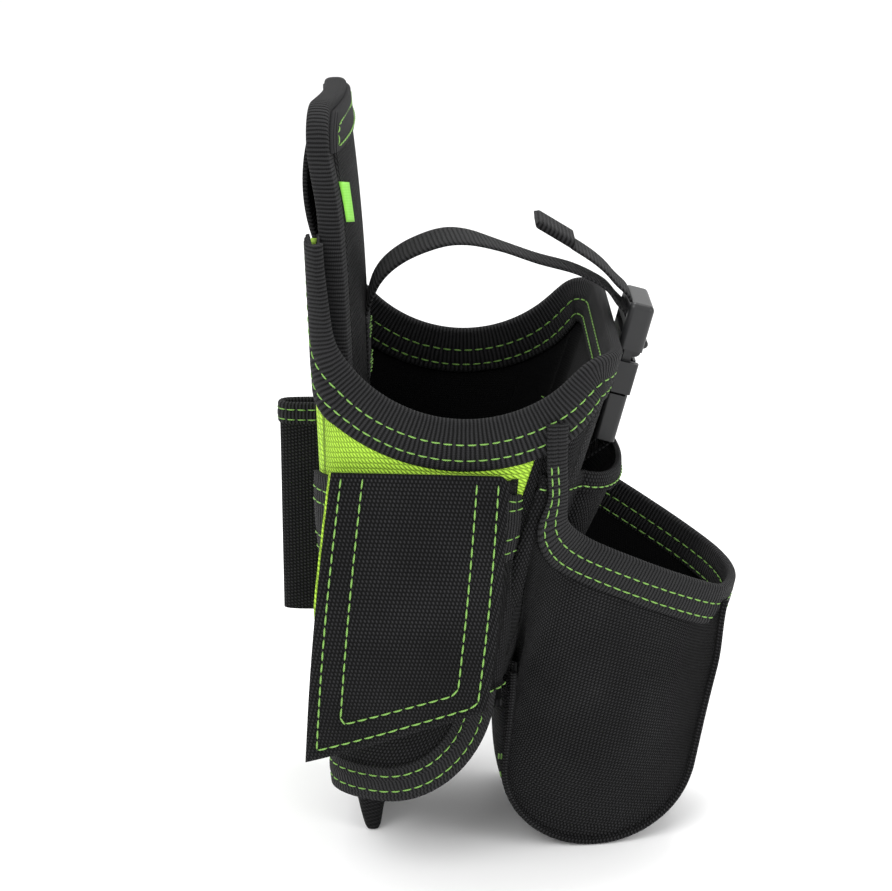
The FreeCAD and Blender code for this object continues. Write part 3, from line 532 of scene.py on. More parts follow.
def puff(piece, pinned, pressure=4.0, most=1.4):
    """Inflates a sewn pad with a short cloth run on a coarse copy, then carries the movement back to it."""
    copy = piece.copy()
    copy.data = piece.data.copy()
    bpy.context.collection.objects.link(copy)
    remesh = copy.modifiers.new("even", "REMESH")
    remesh.mode = "VOXEL"
    remesh.voxel_size = 0.005
    graph = bpy.context.evaluated_depsgraph_get()
    even = bpy.data.meshes.new_from_object(copy.evaluated_get(graph))
    copy.modifiers.clear()
    copy.data = even
    start = np.array([v.co for v in even.vertices])
    group = copy.vertex_groups.new(name="sewn")
    group.add([k for k, hold in enumerate(pinned(start / MM - SHIFT)) if hold], 1.0, "REPLACE")
    cloth = copy.modifiers.new("cloth", "CLOTH")
    cloth.settings.quality = 6
    cloth.settings.mass = 0.3
    cloth.settings.tension_stiffness = 25
    cloth.settings.compression_stiffness = 25
    cloth.settings.bending_stiffness = 1.5
    cloth.settings.use_pressure = True
    cloth.settings.uniform_pressure_force = pressure
    cloth.settings.vertex_group_mass = "sewn"
    cloth.settings.effector_weights.gravity = 0.0
    cloth.point_cache.frame_start, cloth.point_cache.frame_end = 1, 20
    for k in range(1, 21):
        bpy.context.scene.frame_set(k)
        graph = bpy.context.evaluated_depsgraph_get()
        settled = np.array([v.co for v in copy.evaluated_get(graph).data.vertices])
    bpy.context.scene.frame_set(1)
    moved = settled - start
    size = np.linalg.norm(moved, axis=1, keepdims=True)
    moved = moved * np.minimum(1.0, most * MM / np.maximum(size, 1e-9))
    tree = KDTree(len(start))
    for k, co in enumerate(start):
        tree.insert(co, k)
    tree.balance()
    for vertex in piece.data.vertices:
        near = tree.find_n(vertex.co, 5)
        weights = np.array([1 / (distance + 0.001) for _co, _k, distance in near])
        shift = (moved[[k for _co, k, _d in near]] * weights[:, None]).sum(0) / weights.sum()
        vertex.co += Vector(shift)
    bpy.data.objects.remove(copy)


def ripple(a, b, seed, scale=1.0):
    """Soft, repeatable unevenness of about plus or minus 1, from a few crossed waves."""
    rng = np.random.default_rng(seed)
    total = 0.0
    for k in range(5):
        fa = rng.uniform(0.02, 0.09) * scale
        fb = rng.uniform(0.02, 0.09) * scale
        phase = rng.uniform(0, 6.28)
        total = total + np.sin(a * fa * rng.choice((-1, 1)) + b * fb + phase) / (1 + k * 0.5)
    return total / 2.2


# ------------------------------------------------------------------ main pocket surface
def front_x(z):
    return RIM_FRONT_X - (RIM_FRONT_Z - z) * FRONT_LEAN


def rear_x(z):
    return REAR_X - (z - BASE_Z) * REAR_LEAN


def half_width(z):
    return HALF_AT_BASE + (z - BASE_Z) * HALF_GAIN / GAIN_HEIGHT


def lengths(z, off):
    """Running lengths of the plan outline's stretches from the flange's inner end to the front centre."""
    hw, xr, xf = half_width(z) + off, rear_x(z) - off, front_x(z) + off
    rr, rf = REAR_R + off, FRONT_R + off
    a = hw - rr - FLANGE_Y
    b = a + rr * math.pi / 2
    c = b + (xf - rf) - (xr + rr)
    d = c + rf * math.pi / 2
    return a, b, c, d, d + hw - rf


def outline(s, z, off=0.0):
    """Point and outward normal of the main pocket's skin, s millimetres round from the near flange's end."""
    s, z = np.broadcast_arrays(np.asarray(s, float), np.asarray(z, float))
    a, b, c, d, e = lengths(z, off)
    hw, xr, xf = half_width(z) + off, rear_x(z) - off, front_x(z) + off
    rr, rf = REAR_R + off, FRONT_R + off
    far = s > e
    t = np.where(far, 2 * e - s, s)
    turn_rear = np.clip((t - a) / rr, 0, math.pi / 2)
    turn_front = np.clip((t - c) / rf, 0, math.pi / 2)
    rear_c, rear_s = np.cos(turn_rear), np.sin(turn_rear)
    front_c, front_s = np.cos(turn_front), np.sin(turn_front)
    on = [t < a, (t >= a) & (t < b), (t >= b) & (t < c), (t >= c) & (t < d)]
    x = np.select(on, [xr, xr + rr - rr * rear_c, xr + rr + (t - b), xf - rf + rf * front_s], xf)
    y = np.select(on, [-FLANGE_Y - t, -hw + rr - rr * rear_s, -hw, -hw + rf - rf * front_c], -(e - t))
    nx = np.select(on, [-1.0, -rear_c, 0.0, front_s], 1.0)
    ny = np.select(on, [0.0, -rear_s, -1.0, -front_c], 0.0)
    y = np.where(far, -y, y)
    ny = np.where(far, -ny, ny)
    nz = np.where(nx > 0, -FRONT_LEAN * nx, 0.0)
    return stack(x, y, z), unit(stack(nx, ny, nz))


def saddle_z(x):
    cx, cz, r = SADDLE
    inside = np.clip(r * r - (x - cx) ** 2, 0, None)
    return np.where(x > cx, np.minimum(cz - np.sqrt(inside), RIM_FRONT_Z), cz - np.sqrt(inside))


def project(points, off=0.0):
    """Moves points straight onto the main pocket's skin at their own heights; gives points and normals."""
    p = np.asarray(points, float)
    x, y, z = p[..., 0], p[..., 1], p[..., 2]
    side = np.where(y > 0, 1.0, -1.0)
    depth = np.abs(y)
    hw, xr, xf = half_width(z), rear_x(z), front_x(z)
    in_rear = (x < xr + REAR_R) & (depth > hw - REAR_R)
    in_front = (x > xf - FRONT_R) & (depth > hw - FRONT_R)
    turning = in_rear | in_front
    cx = np.where(in_rear, xr + REAR_R, xf - FRONT_R)
    r = np.where(in_rear, REAR_R, FRONT_R)
    dx, dy = x - cx, depth - (hw - r)
    length = np.maximum(np.hypot(dx, dy), 1e-6)
    nearest = np.stack([np.abs(x - xr), np.abs(depth - hw), np.abs(x - xf)]).argmin(0)
    rear, flank = nearest == 0, nearest == 1
    nx = np.select([turning, rear, flank], [dx / length, -1.0, 0.0], 1.0)
    ny = np.select([turning, rear, flank], [dy / length, 0.0, 1.0], 0.0)
    px = np.select([turning, rear, flank], [cx + nx * (r + off), xr - off, x], xf + off)
    py = np.select([turning, rear, flank], [hw - r + ny * (r + off), depth, hw + off], depth)
    nz = -FRONT_LEAN * np.clip(nx, 0, None) - 0.035 * ny
    return stack(px, py * side, z), unit(stack(nx, ny * side, nz))


def bottom_z(x, off=0.0):
    cx, cz, r = BOTTOM
    r = r + off
    inside = np.clip(r * r - np.clip(x - cx, 0, r) ** 2, 0, None)
    return cz - np.sqrt(inside)


def panel_span(part, z):
    """Where a wall panel starts and ends round the outline at height z."""
    a, _b, c, _d, e = lengths(z, 0.0)
    edge = a + REAR_R * np.arccos(np.clip(1 - (FLANGE_EDGE_X - rear_x(z)) / REAR_R, -1, 1))
    return {"flange": (0 * c, edge), "side": (edge, c), "front": (c, 2 * e - c)}[part]


def wall_grid(part, columns, rows, off, bulge=0.0, seed=0):
    """Points on one wall panel of the main pocket, from its foot up to just under its rim."""
    t = np.linspace(0, 1, columns)
    top = np.full(columns, 215.0)
    for _ in range(40):
        s0, s1 = panel_span(part, top)
        x = outline(mix(s0, s1, t), top)[0][:, 0]
        top = np.full(columns, FLANGE_TOP - 3.0) if part == "flange" else saddle_z(x) - WALL_TOP_GAP
    v = np.linspace(0, 1, rows)[None, :]
    foot = np.full(columns, 60.0)
    for _ in range(20):
        s0, s1 = panel_span(part, foot)
        foot = bottom_z(outline(mix(s0, s1, t), foot)[0][:, 0])
    z = mix(foot[:, None], top[:, None], v)
    s0, s1 = panel_span(part, z)
    s = mix(s0, s1, t[:, None])
    point, normal = outline(s, z)
    calm = np.sin(math.pi * np.clip(t, 0, 1))[:, None] * np.sin(math.pi * v) if part != "flange" else 0 * v
    swell = (bulge + 0.45 * ripple(s, z, seed)) * calm
    return point + normal * (off + swell)[..., None]


def side_grid(off, seed, far=False):
    """A whole side panel: its rear flange, then the side itself."""
    flange = wall_grid("flange", 22, 90, off)
    side = wall_grid("side", 90, 90, off, 1.0, seed)
    grid = np.concatenate([flange[:-1], side])
    return grid[::-1] * MIRROR if far else grid


def make_main_pocket():
    near = slab("near_side_panel", side_grid(0.0, 3), side_grid(0.5 - WALL, 3), LIME_WEAVE, LINING)
    keep(near, "pouch", "lime_fabric", "near_side_wall")
    far = slab("far_side_panel", side_grid(0.0, 4, True), side_grid(0.5 - WALL, 4, True), LIME_WEAVE, LINING)
    keep(far, "pouch", "lime_fabric", "far_side_wall")
    front = slab("front_panel", wall_grid("front", 130, 90, 0.3, 0.8, 5),
                 wall_grid("front", 130, 90, 0.5 - WALL, 0.8, 5), BALLISTIC, LINING)
    keep(front, "pouch", "black_fabric", "front_wall")
    turn = np.linspace(math.radians(-90), math.radians(-12), 40)
    x = np.concatenate([np.linspace(-46.4, BOTTOM[0], 10)[:-1], BOTTOM[0] + BOTTOM[2] * np.cos(turn)])
    z = np.concatenate([np.full(9, BOTTOM[1] - BOTTOM[2]), BOTTOM[1] + BOTTOM[2] * np.sin(turn)])
    x = np.append(x, front_x(z[-1]) - 0.5)
    z = np.append(z, z[-1] + 0.6)
    across = np.linspace(-1, 1, 50)[None, :]
    y = across * (half_width(z)[:, None] - 0.6)
    under = stack(x[:, None], y, z[:, None] - 0.8 * (1 - across ** 6))
    bottom = slab("pocket_underside", under, under + np.array([0, 0, WALL]), BALLISTIC, LINING, True)
    keep(bottom, "pouch", "black_fabric", "bottom_panel")


def folded_section(thick, outer, inner, rows=(), cover=1.25, steps=22, plump=0.3):
    """Cross-section of webbing folded over an edge: (n, d) round the outside, then back inside it."""
    def face(d, side):
        n = thick / 2 + cover + plump * np.sin(math.pi * np.clip(d / max(outer, 1), 0, 1))
        for row in rows:
            n = n - 0.42 * np.exp(-((d - row) / 0.9) ** 2)
        n = n - 0.7 * smooth((d - (outer if side > 0 else inner) + 1.2) / 1.2)
        return n
    d_out = np.linspace(outer, 0, steps)
    d_in = np.linspace(0, inner, steps)
    turn = np.linspace(0, math.pi, 13)[1:-1]
    r = face(np.array(0.0), 1)
    outside = np.stack([face(d_out, 1), d_out], -1)
    fold = np.stack([r * np.cos(turn), -r * 0.85 * np.sin(turn)], -1)
    inside = np.stack([-face(d_in, -1), d_in], -1)
    core = thick / 2 - 0.1
    back = [(-core, inner), (-core, 1.0), (core, 1.0), (core, outer)]
    return np.concatenate([outside, fold, inside, np.array(back)])


def resample(points, spacing=1.0):
    length = arc_length(points)
    at = np.linspace(0, length[-1], max(2, int(length[-1] / spacing)) + 1)
    return spaced(points, length, at)


def relax(points, times):
    points = points.copy()
    for _ in range(times):
        points[1:-1] = (points[:-2] + 2 * points[1:-1] + points[2:]) / 4
    return points


def drape(path, down, surface, depths):
    """Walks down a surface from a path: its points and normals at each depth, measured along the surface."""
    p, normal = surface(path)
    way = down
    points, normals = [p], [normal]
    for _ in range(int(max(depths)) + 1):
        q, normal = surface(p + way)
        way = unit(q - p)
        p = p + way
        p, normal = surface(p)
        points.append(p)
        normals.append(normal)
    points, normals = np.array(points), np.array(normals)
    low = np.clip(np.floor(depths).astype(int), 0, len(points) - 2)
    t = np.clip(depths - low, 0, 1)[:, None, None]
    return mix(points[low], points[low + 1], t), unit(mix(normals[low], normals[low + 1], t))


def wrapped_band(name, path, surface, section, material, flip):
    """A folded band whose two faces lie on a surface: section holds (n, d) pairs, d down the surface."""
    base, normals = surface(path)
    normal, down = frames(base, normals)
    section = np.asarray(section)
    n, d = section[:, 0], section[:, 1]
    deep = np.clip(d, 0, None)
    points, outward = drape(base, down, surface, deep)
    over = np.minimum(d, 0)[:, None, None] * down[None]
    rows = points + outward * n[:, None, None] + over
    rows = np.where((d < 0)[:, None, None], base[None] + normal[None] * n[:, None, None] + over, rows)
    return loop_mesh(name, rows.transpose(1, 0, 2), path, material, flip)


def surface_rows(path, surface, rows, lift, body, seed):
    """Stitch rows at given depths on both faces of a wrapped band."""
    base, normals = surface(path)
    normal, down = frames(base, normals)
    points, outward = drape(base, down, surface, np.array(rows, float))
    for k in range(len(rows)):
        for side in (1, -1):
            line = points[k] + outward[k] * (lift * side)
            stitches(body, line, outward[k] * side, seed=seed + 2 * k + (side > 0))


def skin_depth(x, z):
    """How far the main pocket's skin lies from its middle plane at (x, z)."""
    rear = np.clip(rear_x(z) + REAR_R - x, 0, REAR_R)
    front = np.clip(x - front_x(z) + FRONT_R, 0, FRONT_R)
    depth = half_width(z) - REAR_R + np.sqrt(REAR_R ** 2 - rear ** 2)
    return depth - FRONT_R + np.sqrt(FRONT_R ** 2 - front ** 2)


def main_rim_line():
    """The main rim's line: down the near flange's edge, along the saddle, round the front and back."""
    x = np.concatenate([np.full(30, FLANGE_EDGE_X), np.linspace(FLANGE_EDGE_X, 56.5, 150)])
    z = np.concatenate([np.linspace(FLANGE_TOP + 0.5, 244.0, 30), saddle_z(x[30:])])
    x = x - 3.0 * smooth((z - 246.0) / 26.0) * (np.arange(len(x)) < 30)
    near = stack(x, -skin_depth(x, z), z)
    z = RIM_FRONT_Z
    turn = np.linspace(math.acos((56.5 - (RIM_FRONT_X - FRONT_R)) / FRONT_R), 0, 20)[1:]
    corner = np.stack([RIM_FRONT_X - FRONT_R + FRONT_R * np.cos(turn),
                       -(half_width(z) - FRONT_R) - FRONT_R * np.sin(turn), np.full(19, z)], -1)
    front = np.array([(RIM_FRONT_X, y, z) for y in np.linspace(-(half_width(z) - FRONT_R), 0, 30)[1:]])
    half = np.concatenate([near, corner, front])
    whole = np.concatenate([half, half[-2::-1] * MIRROR])
    return relax(resample(whole), 70)


def make_main_rim():
    path = main_rim_line()

    def skin(points):
        return project(points, -WALL / 2)
    section = folded_section(WALL, RIM_BAND, RIM_BAND - 1, RIM_ROWS, 1.2)
    rim = wrapped_band("main_rim_band", path, skin, section, WEBBING, True)
    keep(rim, "pouch", "webbing", "main_rim_webbing")
    surface_rows(path, skin, RIM_ROWS, WALL / 2 + 1.15, "pouch", 10)


# ------------------------------------------------------------------ back board
def board_front(z):
    over = np.asarray(z, float) - 200.0
    lean = BOARD_LEAN_R - np.sqrt(BOARD_LEAN_R ** 2 - np.clip(over, 0, None) ** 2)
    return np.where(over < 0, BOARD_X - over * 0.024, BOARD_X - lean)


def board_point(y, z, depth):
    """A point depth behind the board's front face, on the arc that curves round the hip."""
    r = BOARD_PLAN_R + board_front(z) - BOARD_X - depth
    turn = np.asarray(y, float) / BOARD_PLAN_R
    return stack(BOARD_X - BOARD_PLAN_R + r * np.cos(turn), r * np.sin(turn), z)


def board_half(z):
    r = BOARD_R
    over = np.clip(np.asarray(z, float) - (BOARD_Z1 - r), 0, r)
    return BOARD_HALF - r + np.sqrt(np.clip(r * r - over * over, 0, None))


def make_board():
    v = np.linspace(0, 1, 130)[None, :]
    u = np.linspace(-1, 1, 70)[:, None]
    z = mix(BOARD_Z0, BOARD_Z1 - 1.5, v) + 0 * u
    y = u * (board_half(z) - 1.5)
    edge = np.minimum(1 - np.abs(u), np.minimum(1 - v, v) * 2.4)
    crown = smooth(edge / 0.16)
    swell = 0.9 * crown + 0.25 * ripple(y, z, 8, 0.8) * crown
    front = board_point(y, z, 1.4 - 1.4 * crown - swell)
    rear = board_point(y, z, BOARD_T - 1.4 + 1.4 * crown + 0.6 * crown)
    pad = slab("board_pad", front, rear, TWILL, BALLISTIC)
    layers = ("board_front_cover", "board_foam", "board_stiffener", "board_rear_cover")
    keep(pad, "pouch", "black_fabric", *layers)
    puff(pad, lambda p: (np.abs(p[:, 1]) > board_half(p[:, 2]) - 8) | (p[:, 2] < BOARD_Z0 + 8))
    path, inward, ahead = board_edge(260)
    section = edge_roll(BOARD_T / 2 + 0.8, 9.0)
    roll = sweep("board_edge_binding", path, ahead, inward, section, WEBBING)
    keep(roll, "pouch", "webbing", "board_binding")
    make_board_cap()


def board_edge(count):
    """The board's edge line up one side, over the top and down the other, with inward and front vectors."""
    corner = np.linspace(0, math.pi / 2, count // 8)
    low, r = BOARD_Z0 + 3, BOARD_R
    up = np.linspace(low, BOARD_Z1 - r, count // 3)[:-1]
    y = np.concatenate([np.full(len(up), -BOARD_HALF), -BOARD_HALF + r - r * np.cos(corner)])
    z = np.concatenate([up, BOARD_Z1 - r + r * np.sin(corner)])
    top = np.linspace(-BOARD_HALF + r, 0, count // 10)[1:]
    y = np.concatenate([y, top])
    z = np.concatenate([z, np.full(len(top), BOARD_Z1)])
    y = np.concatenate([y, -y[-2::-1]])
    z = np.concatenate([z, z[-2::-1]])
    near = (1 - 0.8 * smooth((y + 52.0) / 75.0)) * smooth((z - 285.0) / 25.0)
    near = near * (1 - smooth((y - 20.0) / 25.0))
    far = smooth((y - 18.0) / 30.0) * smooth((z - 300.0) / 20.0)
    path = board_point(y, z, BOARD_T / 2) + stack(-1.6 * near, -0.6 * near, 1.8 * near - 2.0 * far)
    ahead = unit(board_point(y, z, 0) - board_point(y, z, BOARD_T))
    tangent = unit(np.gradient(path, axis=0))
    return path, unit(np.cross(tangent, ahead)), ahead


def edge_roll(half, reach):
    """Section of a plump binding rolled over the board's edge: n towards the front, d inwards."""
    turn = np.linspace(0, math.pi, 25)
    n = half * boxy(np.cos(turn), 0.75)
    d = 0.6 - 2.0 * np.sin(turn) ** 0.9
    start = [(half * 0.7, reach), (half * 0.98, reach - 1.2), (half * 1.04, reach * 0.5)]
    end = [(-half * 1.04, reach * 0.5), (-half * 0.98, reach - 1.2), (-half * 0.7, reach)]
    back = [(-half + 1.5, reach - 1), (-half + 1.5, 1.5), (half - 1.5, 1.5), (half - 1.5, reach - 1)]
    return np.concatenate([start, np.stack([n, d], -1), end, back])


def make_board_cap():
    """Webbing patches across the board's top, front and rear, each sewn with two green rows."""
    u = np.linspace(-1, 1, 60)[:, None]
    v = np.linspace(0, 1, 26)[None, :]
    top = BOARD_Z1 - 1.0
    for name, depth, lift in (("board_front_cap", 0.0, 1.0), ("board_rear_cap", BOARD_T, -1.0)):
        z = mix(CAP_FOOT, top, v) + 0 * u
        y = u * (board_half(z) - 1.0)
        z = z - 2.0 * v * smooth((y - 18.0) / 30.0)
        edge = smooth(np.minimum(1 - np.abs(u), 1 - v) / 0.08)
        outer = board_point(y, z, depth - lift * (0.6 + 1.3 * edge))
        inner = board_point(y, z, depth + lift * 0.8)
        if lift < 0:
            outer, inner = outer[::-1], inner[::-1]
        keep(slab(name, outer, inner, FINE_WEB, FINE_WEB), "pouch", "webbing")
    turn = np.linspace(0, math.pi / 2, 14)
    y = np.concatenate([-42.0 - 10 * np.cos(turn), [0.0], (40.0 + 10 * np.cos(turn))[::-1]])
    z = np.concatenate([312.0 + 8 * np.sin(turn), [320.0], (311.0 + 8 * np.sin(turn))[::-1]])
    low_y = np.linspace(-51.0, 50.0, 40)
    for k, (at_y, at_z) in enumerate(((y, z), (low_y, np.full(40, 312.0)))):
        for depth, front in ((-2.1, 1.0), (BOARD_T + 2.1, -1.0)):
            line = board_point(at_y, at_z, depth)
            stitches("pouch", line, facing((front, 0, 0.2), line), seed=30 + k)


def make_label():
    """A generic slanted mark woven on the board's front."""
    u = np.linspace(0, 1, 8)[:, None]
    v = np.linspace(0, 1, 12)[None, :]
    z = mix(MARK_Z0, MARK_Z1, v) - 3.5 * u
    y = mix(MARK_REAR_Y, MARK_FRONT_Y, u) - 5.0 * v
    mark = slab("board_mark", board_point(y, z, -1.5), board_point(y, z, -0.2), MARK, MARK)
    keep(mark, "pouch", "label", "board_label")


def make_belt_loop():
    v = np.linspace(0, 1, 60)[None, :]
    u = np.linspace(-1, 1, 26)[:, None]
    z = mix(LOOP_Z0, LOOP_Z1, v) + 0 * u
    bow = np.sin(math.pi * np.clip((v - 0.12) / 0.86, 0, 1)) ** 0.62
    depth = BOARD_T + 1.6 + LOOP_GAP * bow + 0.3 * ripple(u * LOOP_HALF, z, 12)
    y = u * LOOP_HALF
    outer, inner = board_point(y, z, depth + 1.0), board_point(y, z, depth - 0.9)
    band = slab("belt_loop_band", outer, inner, WEBBING, WEBBING, True)
    keep(band, "pouch", "webbing", "belt_loop")
    for k, level in enumerate((256.5, 260.0)):
        at = np.linspace(-36, 36, 30)
        line = board_point(at, np.full(30, level), BOARD_T + 2.7)
        stitches("pouch", line, facing((-1.0, 0, 0), line), seed=36 + k)


# ------------------------------------------------------------------ scoop pocket
def scoop_half(x, z):
    """Half width of the scoop pocket, blended into the main pocket's side seam at its root."""
    half = (36.0 + 0.165 * z) * np.sqrt(np.clip(1 - ((x - 20.0) / 112.0) ** 2, 0.0, None))
    root = front_x(z) - 21.0
    blend = smooth((x - root) / 34.0)
    return mix(np.maximum(half_width(z) + 0.9, half), half, blend)


def scoop_inset(u):
    """How far the near seam lies inside the pocket's outline: most at the root, least at the bottom."""
    return 2.0 + 6.0 * (1 - smooth(u / 0.42)) + 1.3 * smooth((u - 0.6) / 0.25)


def scoop_profile(u, inset=0.0):
    """The side outline: down the rear, round the bottom, up the nose; u from 0 to 1."""
    cx, cz, r = SCOOP_ARC
    rr = r - inset
    arc_len = r * (math.pi - SCOOP_LEAN)
    end = np.array([cx + r * math.cos(-SCOOP_LEAN), cz + r * math.sin(-SCOOP_LEAN)])
    top = (NOSE_X - end[0]) / math.sin(SCOOP_LEAN)
    total = SCOOP_REAR + arc_len + top
    s = np.asarray(u, float) * total
    turn = math.pi + np.clip((s - SCOOP_REAR) / r, 0, math.pi - SCOOP_LEAN)
    up = np.clip(s - SCOOP_REAR - arc_len, 0, None)
    tuck = 1.2 * smooth((s / total - 0.6) / 0.3) + 3.2 * smooth((s / total - 0.88) / 0.12)
    x = cx + rr * np.cos(turn) + up * math.sin(SCOOP_LEAN) - tuck
    z = cz + rr * np.sin(turn) + up * math.cos(SCOOP_LEAN) + np.clip(SCOOP_REAR - s, 0, None)
    return x, z


def scoop_rim(u):
    """The rim in side view: from the root's top, down its arc and along the slope to the nose."""
    cx, cz, r = SCOOP_RIM
    turn_end = math.pi / 2 - SCOOP_SLOPE
    lift = SCOOP_RIM_LIFT
    arc_len = r * turn_end
    at = np.array([cx - r * math.sin(SCOOP_SLOPE), cz - r * math.cos(SCOOP_SLOPE)])
    slope_len = (NOSE_X - at[0]) / math.cos(SCOOP_SLOPE)
    s = np.asarray(u, float) * (lift + arc_len + slope_len)
    turn = np.clip((s - lift) / r, 0, turn_end)
    on = np.clip(s - lift - arc_len, 0, None)
    x = cx - r * np.cos(turn) + on * math.cos(SCOOP_SLOPE)
    z = cz - r * np.sin(turn) - on * math.sin(SCOOP_SLOPE) + np.clip(lift - s, 0, None)
    return x + 0.12 * np.clip(lift - s, 0, None), z


def scoop_panel_grid(side, off):
    """The side panel between its rim and its seam, bulging a little, creased near its root."""
    u = np.linspace(0, 1, 120)[:, None]
    v = np.linspace(0, 1, 90)[None, :]
    rx, rz = scoop_rim(u)
    start = smooth(u / 0.16)
    px, pz = scoop_profile(u, scoop_inset(u))
    back = 7.5 * smooth((u - 0.7) / 0.3)
    rx = np.where(u < 0.16, mix(front_x(rz) - 20.0, rx, start), rx) - back
    rz = rz + 0.54 * back - 1.5 * smooth(u / 0.3)
    x, z = mix(rx, px, v), mix(rz, pz, v)
    away = np.sin(math.pi * v) * np.sin(math.pi * np.clip(u, 0.02, 0.98)) ** 0.5
    crease = 0.9 * np.exp(-((x - 27) / 13.0) ** 2) * np.sin((z - 2.1 * x) * 0.21)
    crease = crease * smooth((z - 60) / 25) * away
    pull = 0.8 * np.exp(-((x - 24) / 12.0) ** 2 - ((z - 88) / 22.0) ** 2) * np.sin((z + 1.4 * x) * 0.3)
    y = scoop_half(x, z) + off + 2.2 * away + 0.5 * ripple(x, z, 21) * away + crease + pull
    wall = skin_depth(np.minimum(x, front_x(z)), z) + 0.4 + 0.5 * (off + 2.0)
    y = mix(wall, y, np.maximum(smooth(u / 0.14), smooth((x - front_x(z)) / 4.0)))
    return stack(x, side * y, z)


def seam_line(side, count=200, start=0.0):
    u = np.linspace(start, 1, count)
    x, z = scoop_profile(u, scoop_inset(u))
    return stack(x, side * scoop_half(x, z), z), u


def make_scoop():
    for side, name in ((-1, "scoop_near"), (1, "scoop_far")):
        outer, inner = scoop_panel_grid(side, 0.2), scoop_panel_grid(side, -2.0)
        if side > 0:
            outer, inner = outer[::-1], inner[::-1]
        panel = slab(name + "_cloth", outer, inner, BALLISTIC, LINING)
        keep(panel, "pouch", "black_fabric", name + "_panel")
    make_gusset()
    make_piping()
    make_scoop_rim()
    make_bartacks()


def gusset_point(u, w):
    """The strip between the two seams, bulging out to the pocket's outline; w from -1 near to 1 far."""
    sx, sz = scoop_profile(u, scoop_inset(u))
    ox, oz = scoop_profile(u, 0.0)
    half = scoop_half(sx, sz)
    round_out = np.sqrt(np.clip(1 - np.abs(w) ** 2.6, 0, None))
    nose = 0.8 * smooth((u - 0.7) / 0.2) * (1 - w ** 2)
    return stack(mix(sx, ox, round_out) + nose, w * half, mix(sz, oz, round_out))


def make_gusset():
    u = np.linspace(0.0, 1.0, 170)[:, None]
    w = np.linspace(-1, 1, 50)[None, :]
    outer = gusset_point(u, w)
    middle = np.array([70.0, 0.0, 75.0])
    inner = outer + unit(middle - outer) * np.array([2.0, 0.6, 2.0])
    strip = slab("scoop_gusset_cloth", outer, inner, BALLISTIC, LINING)
    keep(strip, "pouch", "black_fabric", "scoop_gusset")


def make_piping():
    turn = np.linspace(0, 2 * math.pi, 13)[:-1]
    for side, name in ((-1, "near_piping"), (1, "far_piping")):
        path, u = seam_line(side, 220, 0.02)
        x, z = scoop_profile(u, scoop_inset(u) - 1.0)
        outward = unit(stack(x, 0 * x, z) - stack(path[:, 0], 0 * x, path[:, 2]))
        across = facing((0, side, 0), path)
        section = np.stack([1.5 * np.cos(turn), 1.5 * np.sin(turn)], -1)
        line = path + across + outward * 0.3
        cord = sweep(name + "_bead", line, across, outward, section, BALLISTIC, side < 0)
        keep(cord, "pouch", "piping", "scoop_" + name)


def scoop_skin(x, z):
    """Points on the near side of the scoop pocket's skin with their outward normals."""
    y = scoop_half(x, z) + 0.4
    slope_x = (scoop_half(x + 0.5, z) - scoop_half(x - 0.5, z))
    slope_z = (scoop_half(x, z + 0.5) - scoop_half(x, z - 0.5))
    return stack(x, -y, z), unit(stack(-slope_x, -1.0 + 0 * x, -slope_z))


def scoop_rim_path():
    """The rim's whole line, near root to far root, round the bulged nose, with outward normals."""
    root = np.array([(46.6, 206.0), (46.4, 190.0), (47.2, 172.0)])
    cx, cz, r = SCOOP_RIM
    turn = np.linspace(math.radians(31), math.pi / 2 - SCOOP_SLOPE, 40)
    arc = np.stack([cx - r * np.cos(turn), cz - r * np.sin(turn) + 1.0], -1)
    end_x = 117.0
    end = (end_x, arc[-1, 1] - (end_x - arc[-1, 0]) * math.tan(SCOOP_SLOPE))
    line = np.concatenate([root, arc, [end]])
    line = resample(np.stack([line[:, 0], 0 * line[:, 0], line[:, 1]], -1))
    near, normals = scoop_skin(line[:, 0], line[:, 2])
    half = -near[-1, 1]
    w = np.linspace(-1, 1, 60)[1:-1]
    tip = 124.6 - end_x
    nose_x = end_x + tip * (1 - np.abs(w) ** 2.0)
    nose = stack(nose_x, w * half, near[-1, 2] - (nose_x - end_x) * 0.3)
    nose_normals = unit(stack(1.0 - 0.7 * np.abs(w) ** 2, w * 1.15, -0.22 + 0 * w))
    path = np.concatenate([near, nose, near[::-1] * MIRROR])
    normals = np.concatenate([normals, nose_normals, normals[::-1] * MIRROR])
    length = arc_length(path)
    at = np.linspace(0, length[-1], int(length[-1]))
    return relax(spaced(path, length, at), 24), unit(relax(spaced(normals, length, at), 60))


def make_scoop_rim():
    path, normals = scoop_rim_path()
    normal, down = frames(path, normals)
    section = folded_section(2.0, 16.5, 15.0, SCOOP_ROWS, 1.1)
    width = mix(0.42, 1.0, smooth((178.0 - path[:, 2]) / 26.0))[:, None]
    spread = np.where(section[None, :, 1] > 0, section[None, :, 1] * width, section[None, :, 1])
    points = path[:, None] + normal[:, None] * section[None, :, :1] + down[:, None] * spread[..., None]
    rim = loop_mesh("scoop_rim_band", points, path, WEBBING, True)
    keep(rim, "pouch", "webbing", "scoop_rim_webbing")
    shown = np.flatnonzero(path[:, 2] < 190.0)
    for k, row in enumerate(SCOOP_ROWS):
        for side in (1, -1):
            line = path + normal * (side * 2.05) + down * (row * width)
            stitches("pouch", line[shown], (normal * side)[shown], seed=50 + k)


def make_bartacks():
    """Two zigzag tacks where the scoop's root is sewn, low on the rear of its gusset."""
    for level in (0.189, 0.226):
        u = level + np.array([0, 0.012, 0.004, 0.016, 0.008, 0.02])
        w = np.array([-0.98, -0.84, -0.98, -0.84, -0.98, -0.84])
        line = gusset_point(u, w)
        stitches("pouch", line, facing((-0.8, -0.6, 0), line), 3.0, 3.4, 0.4, 60)


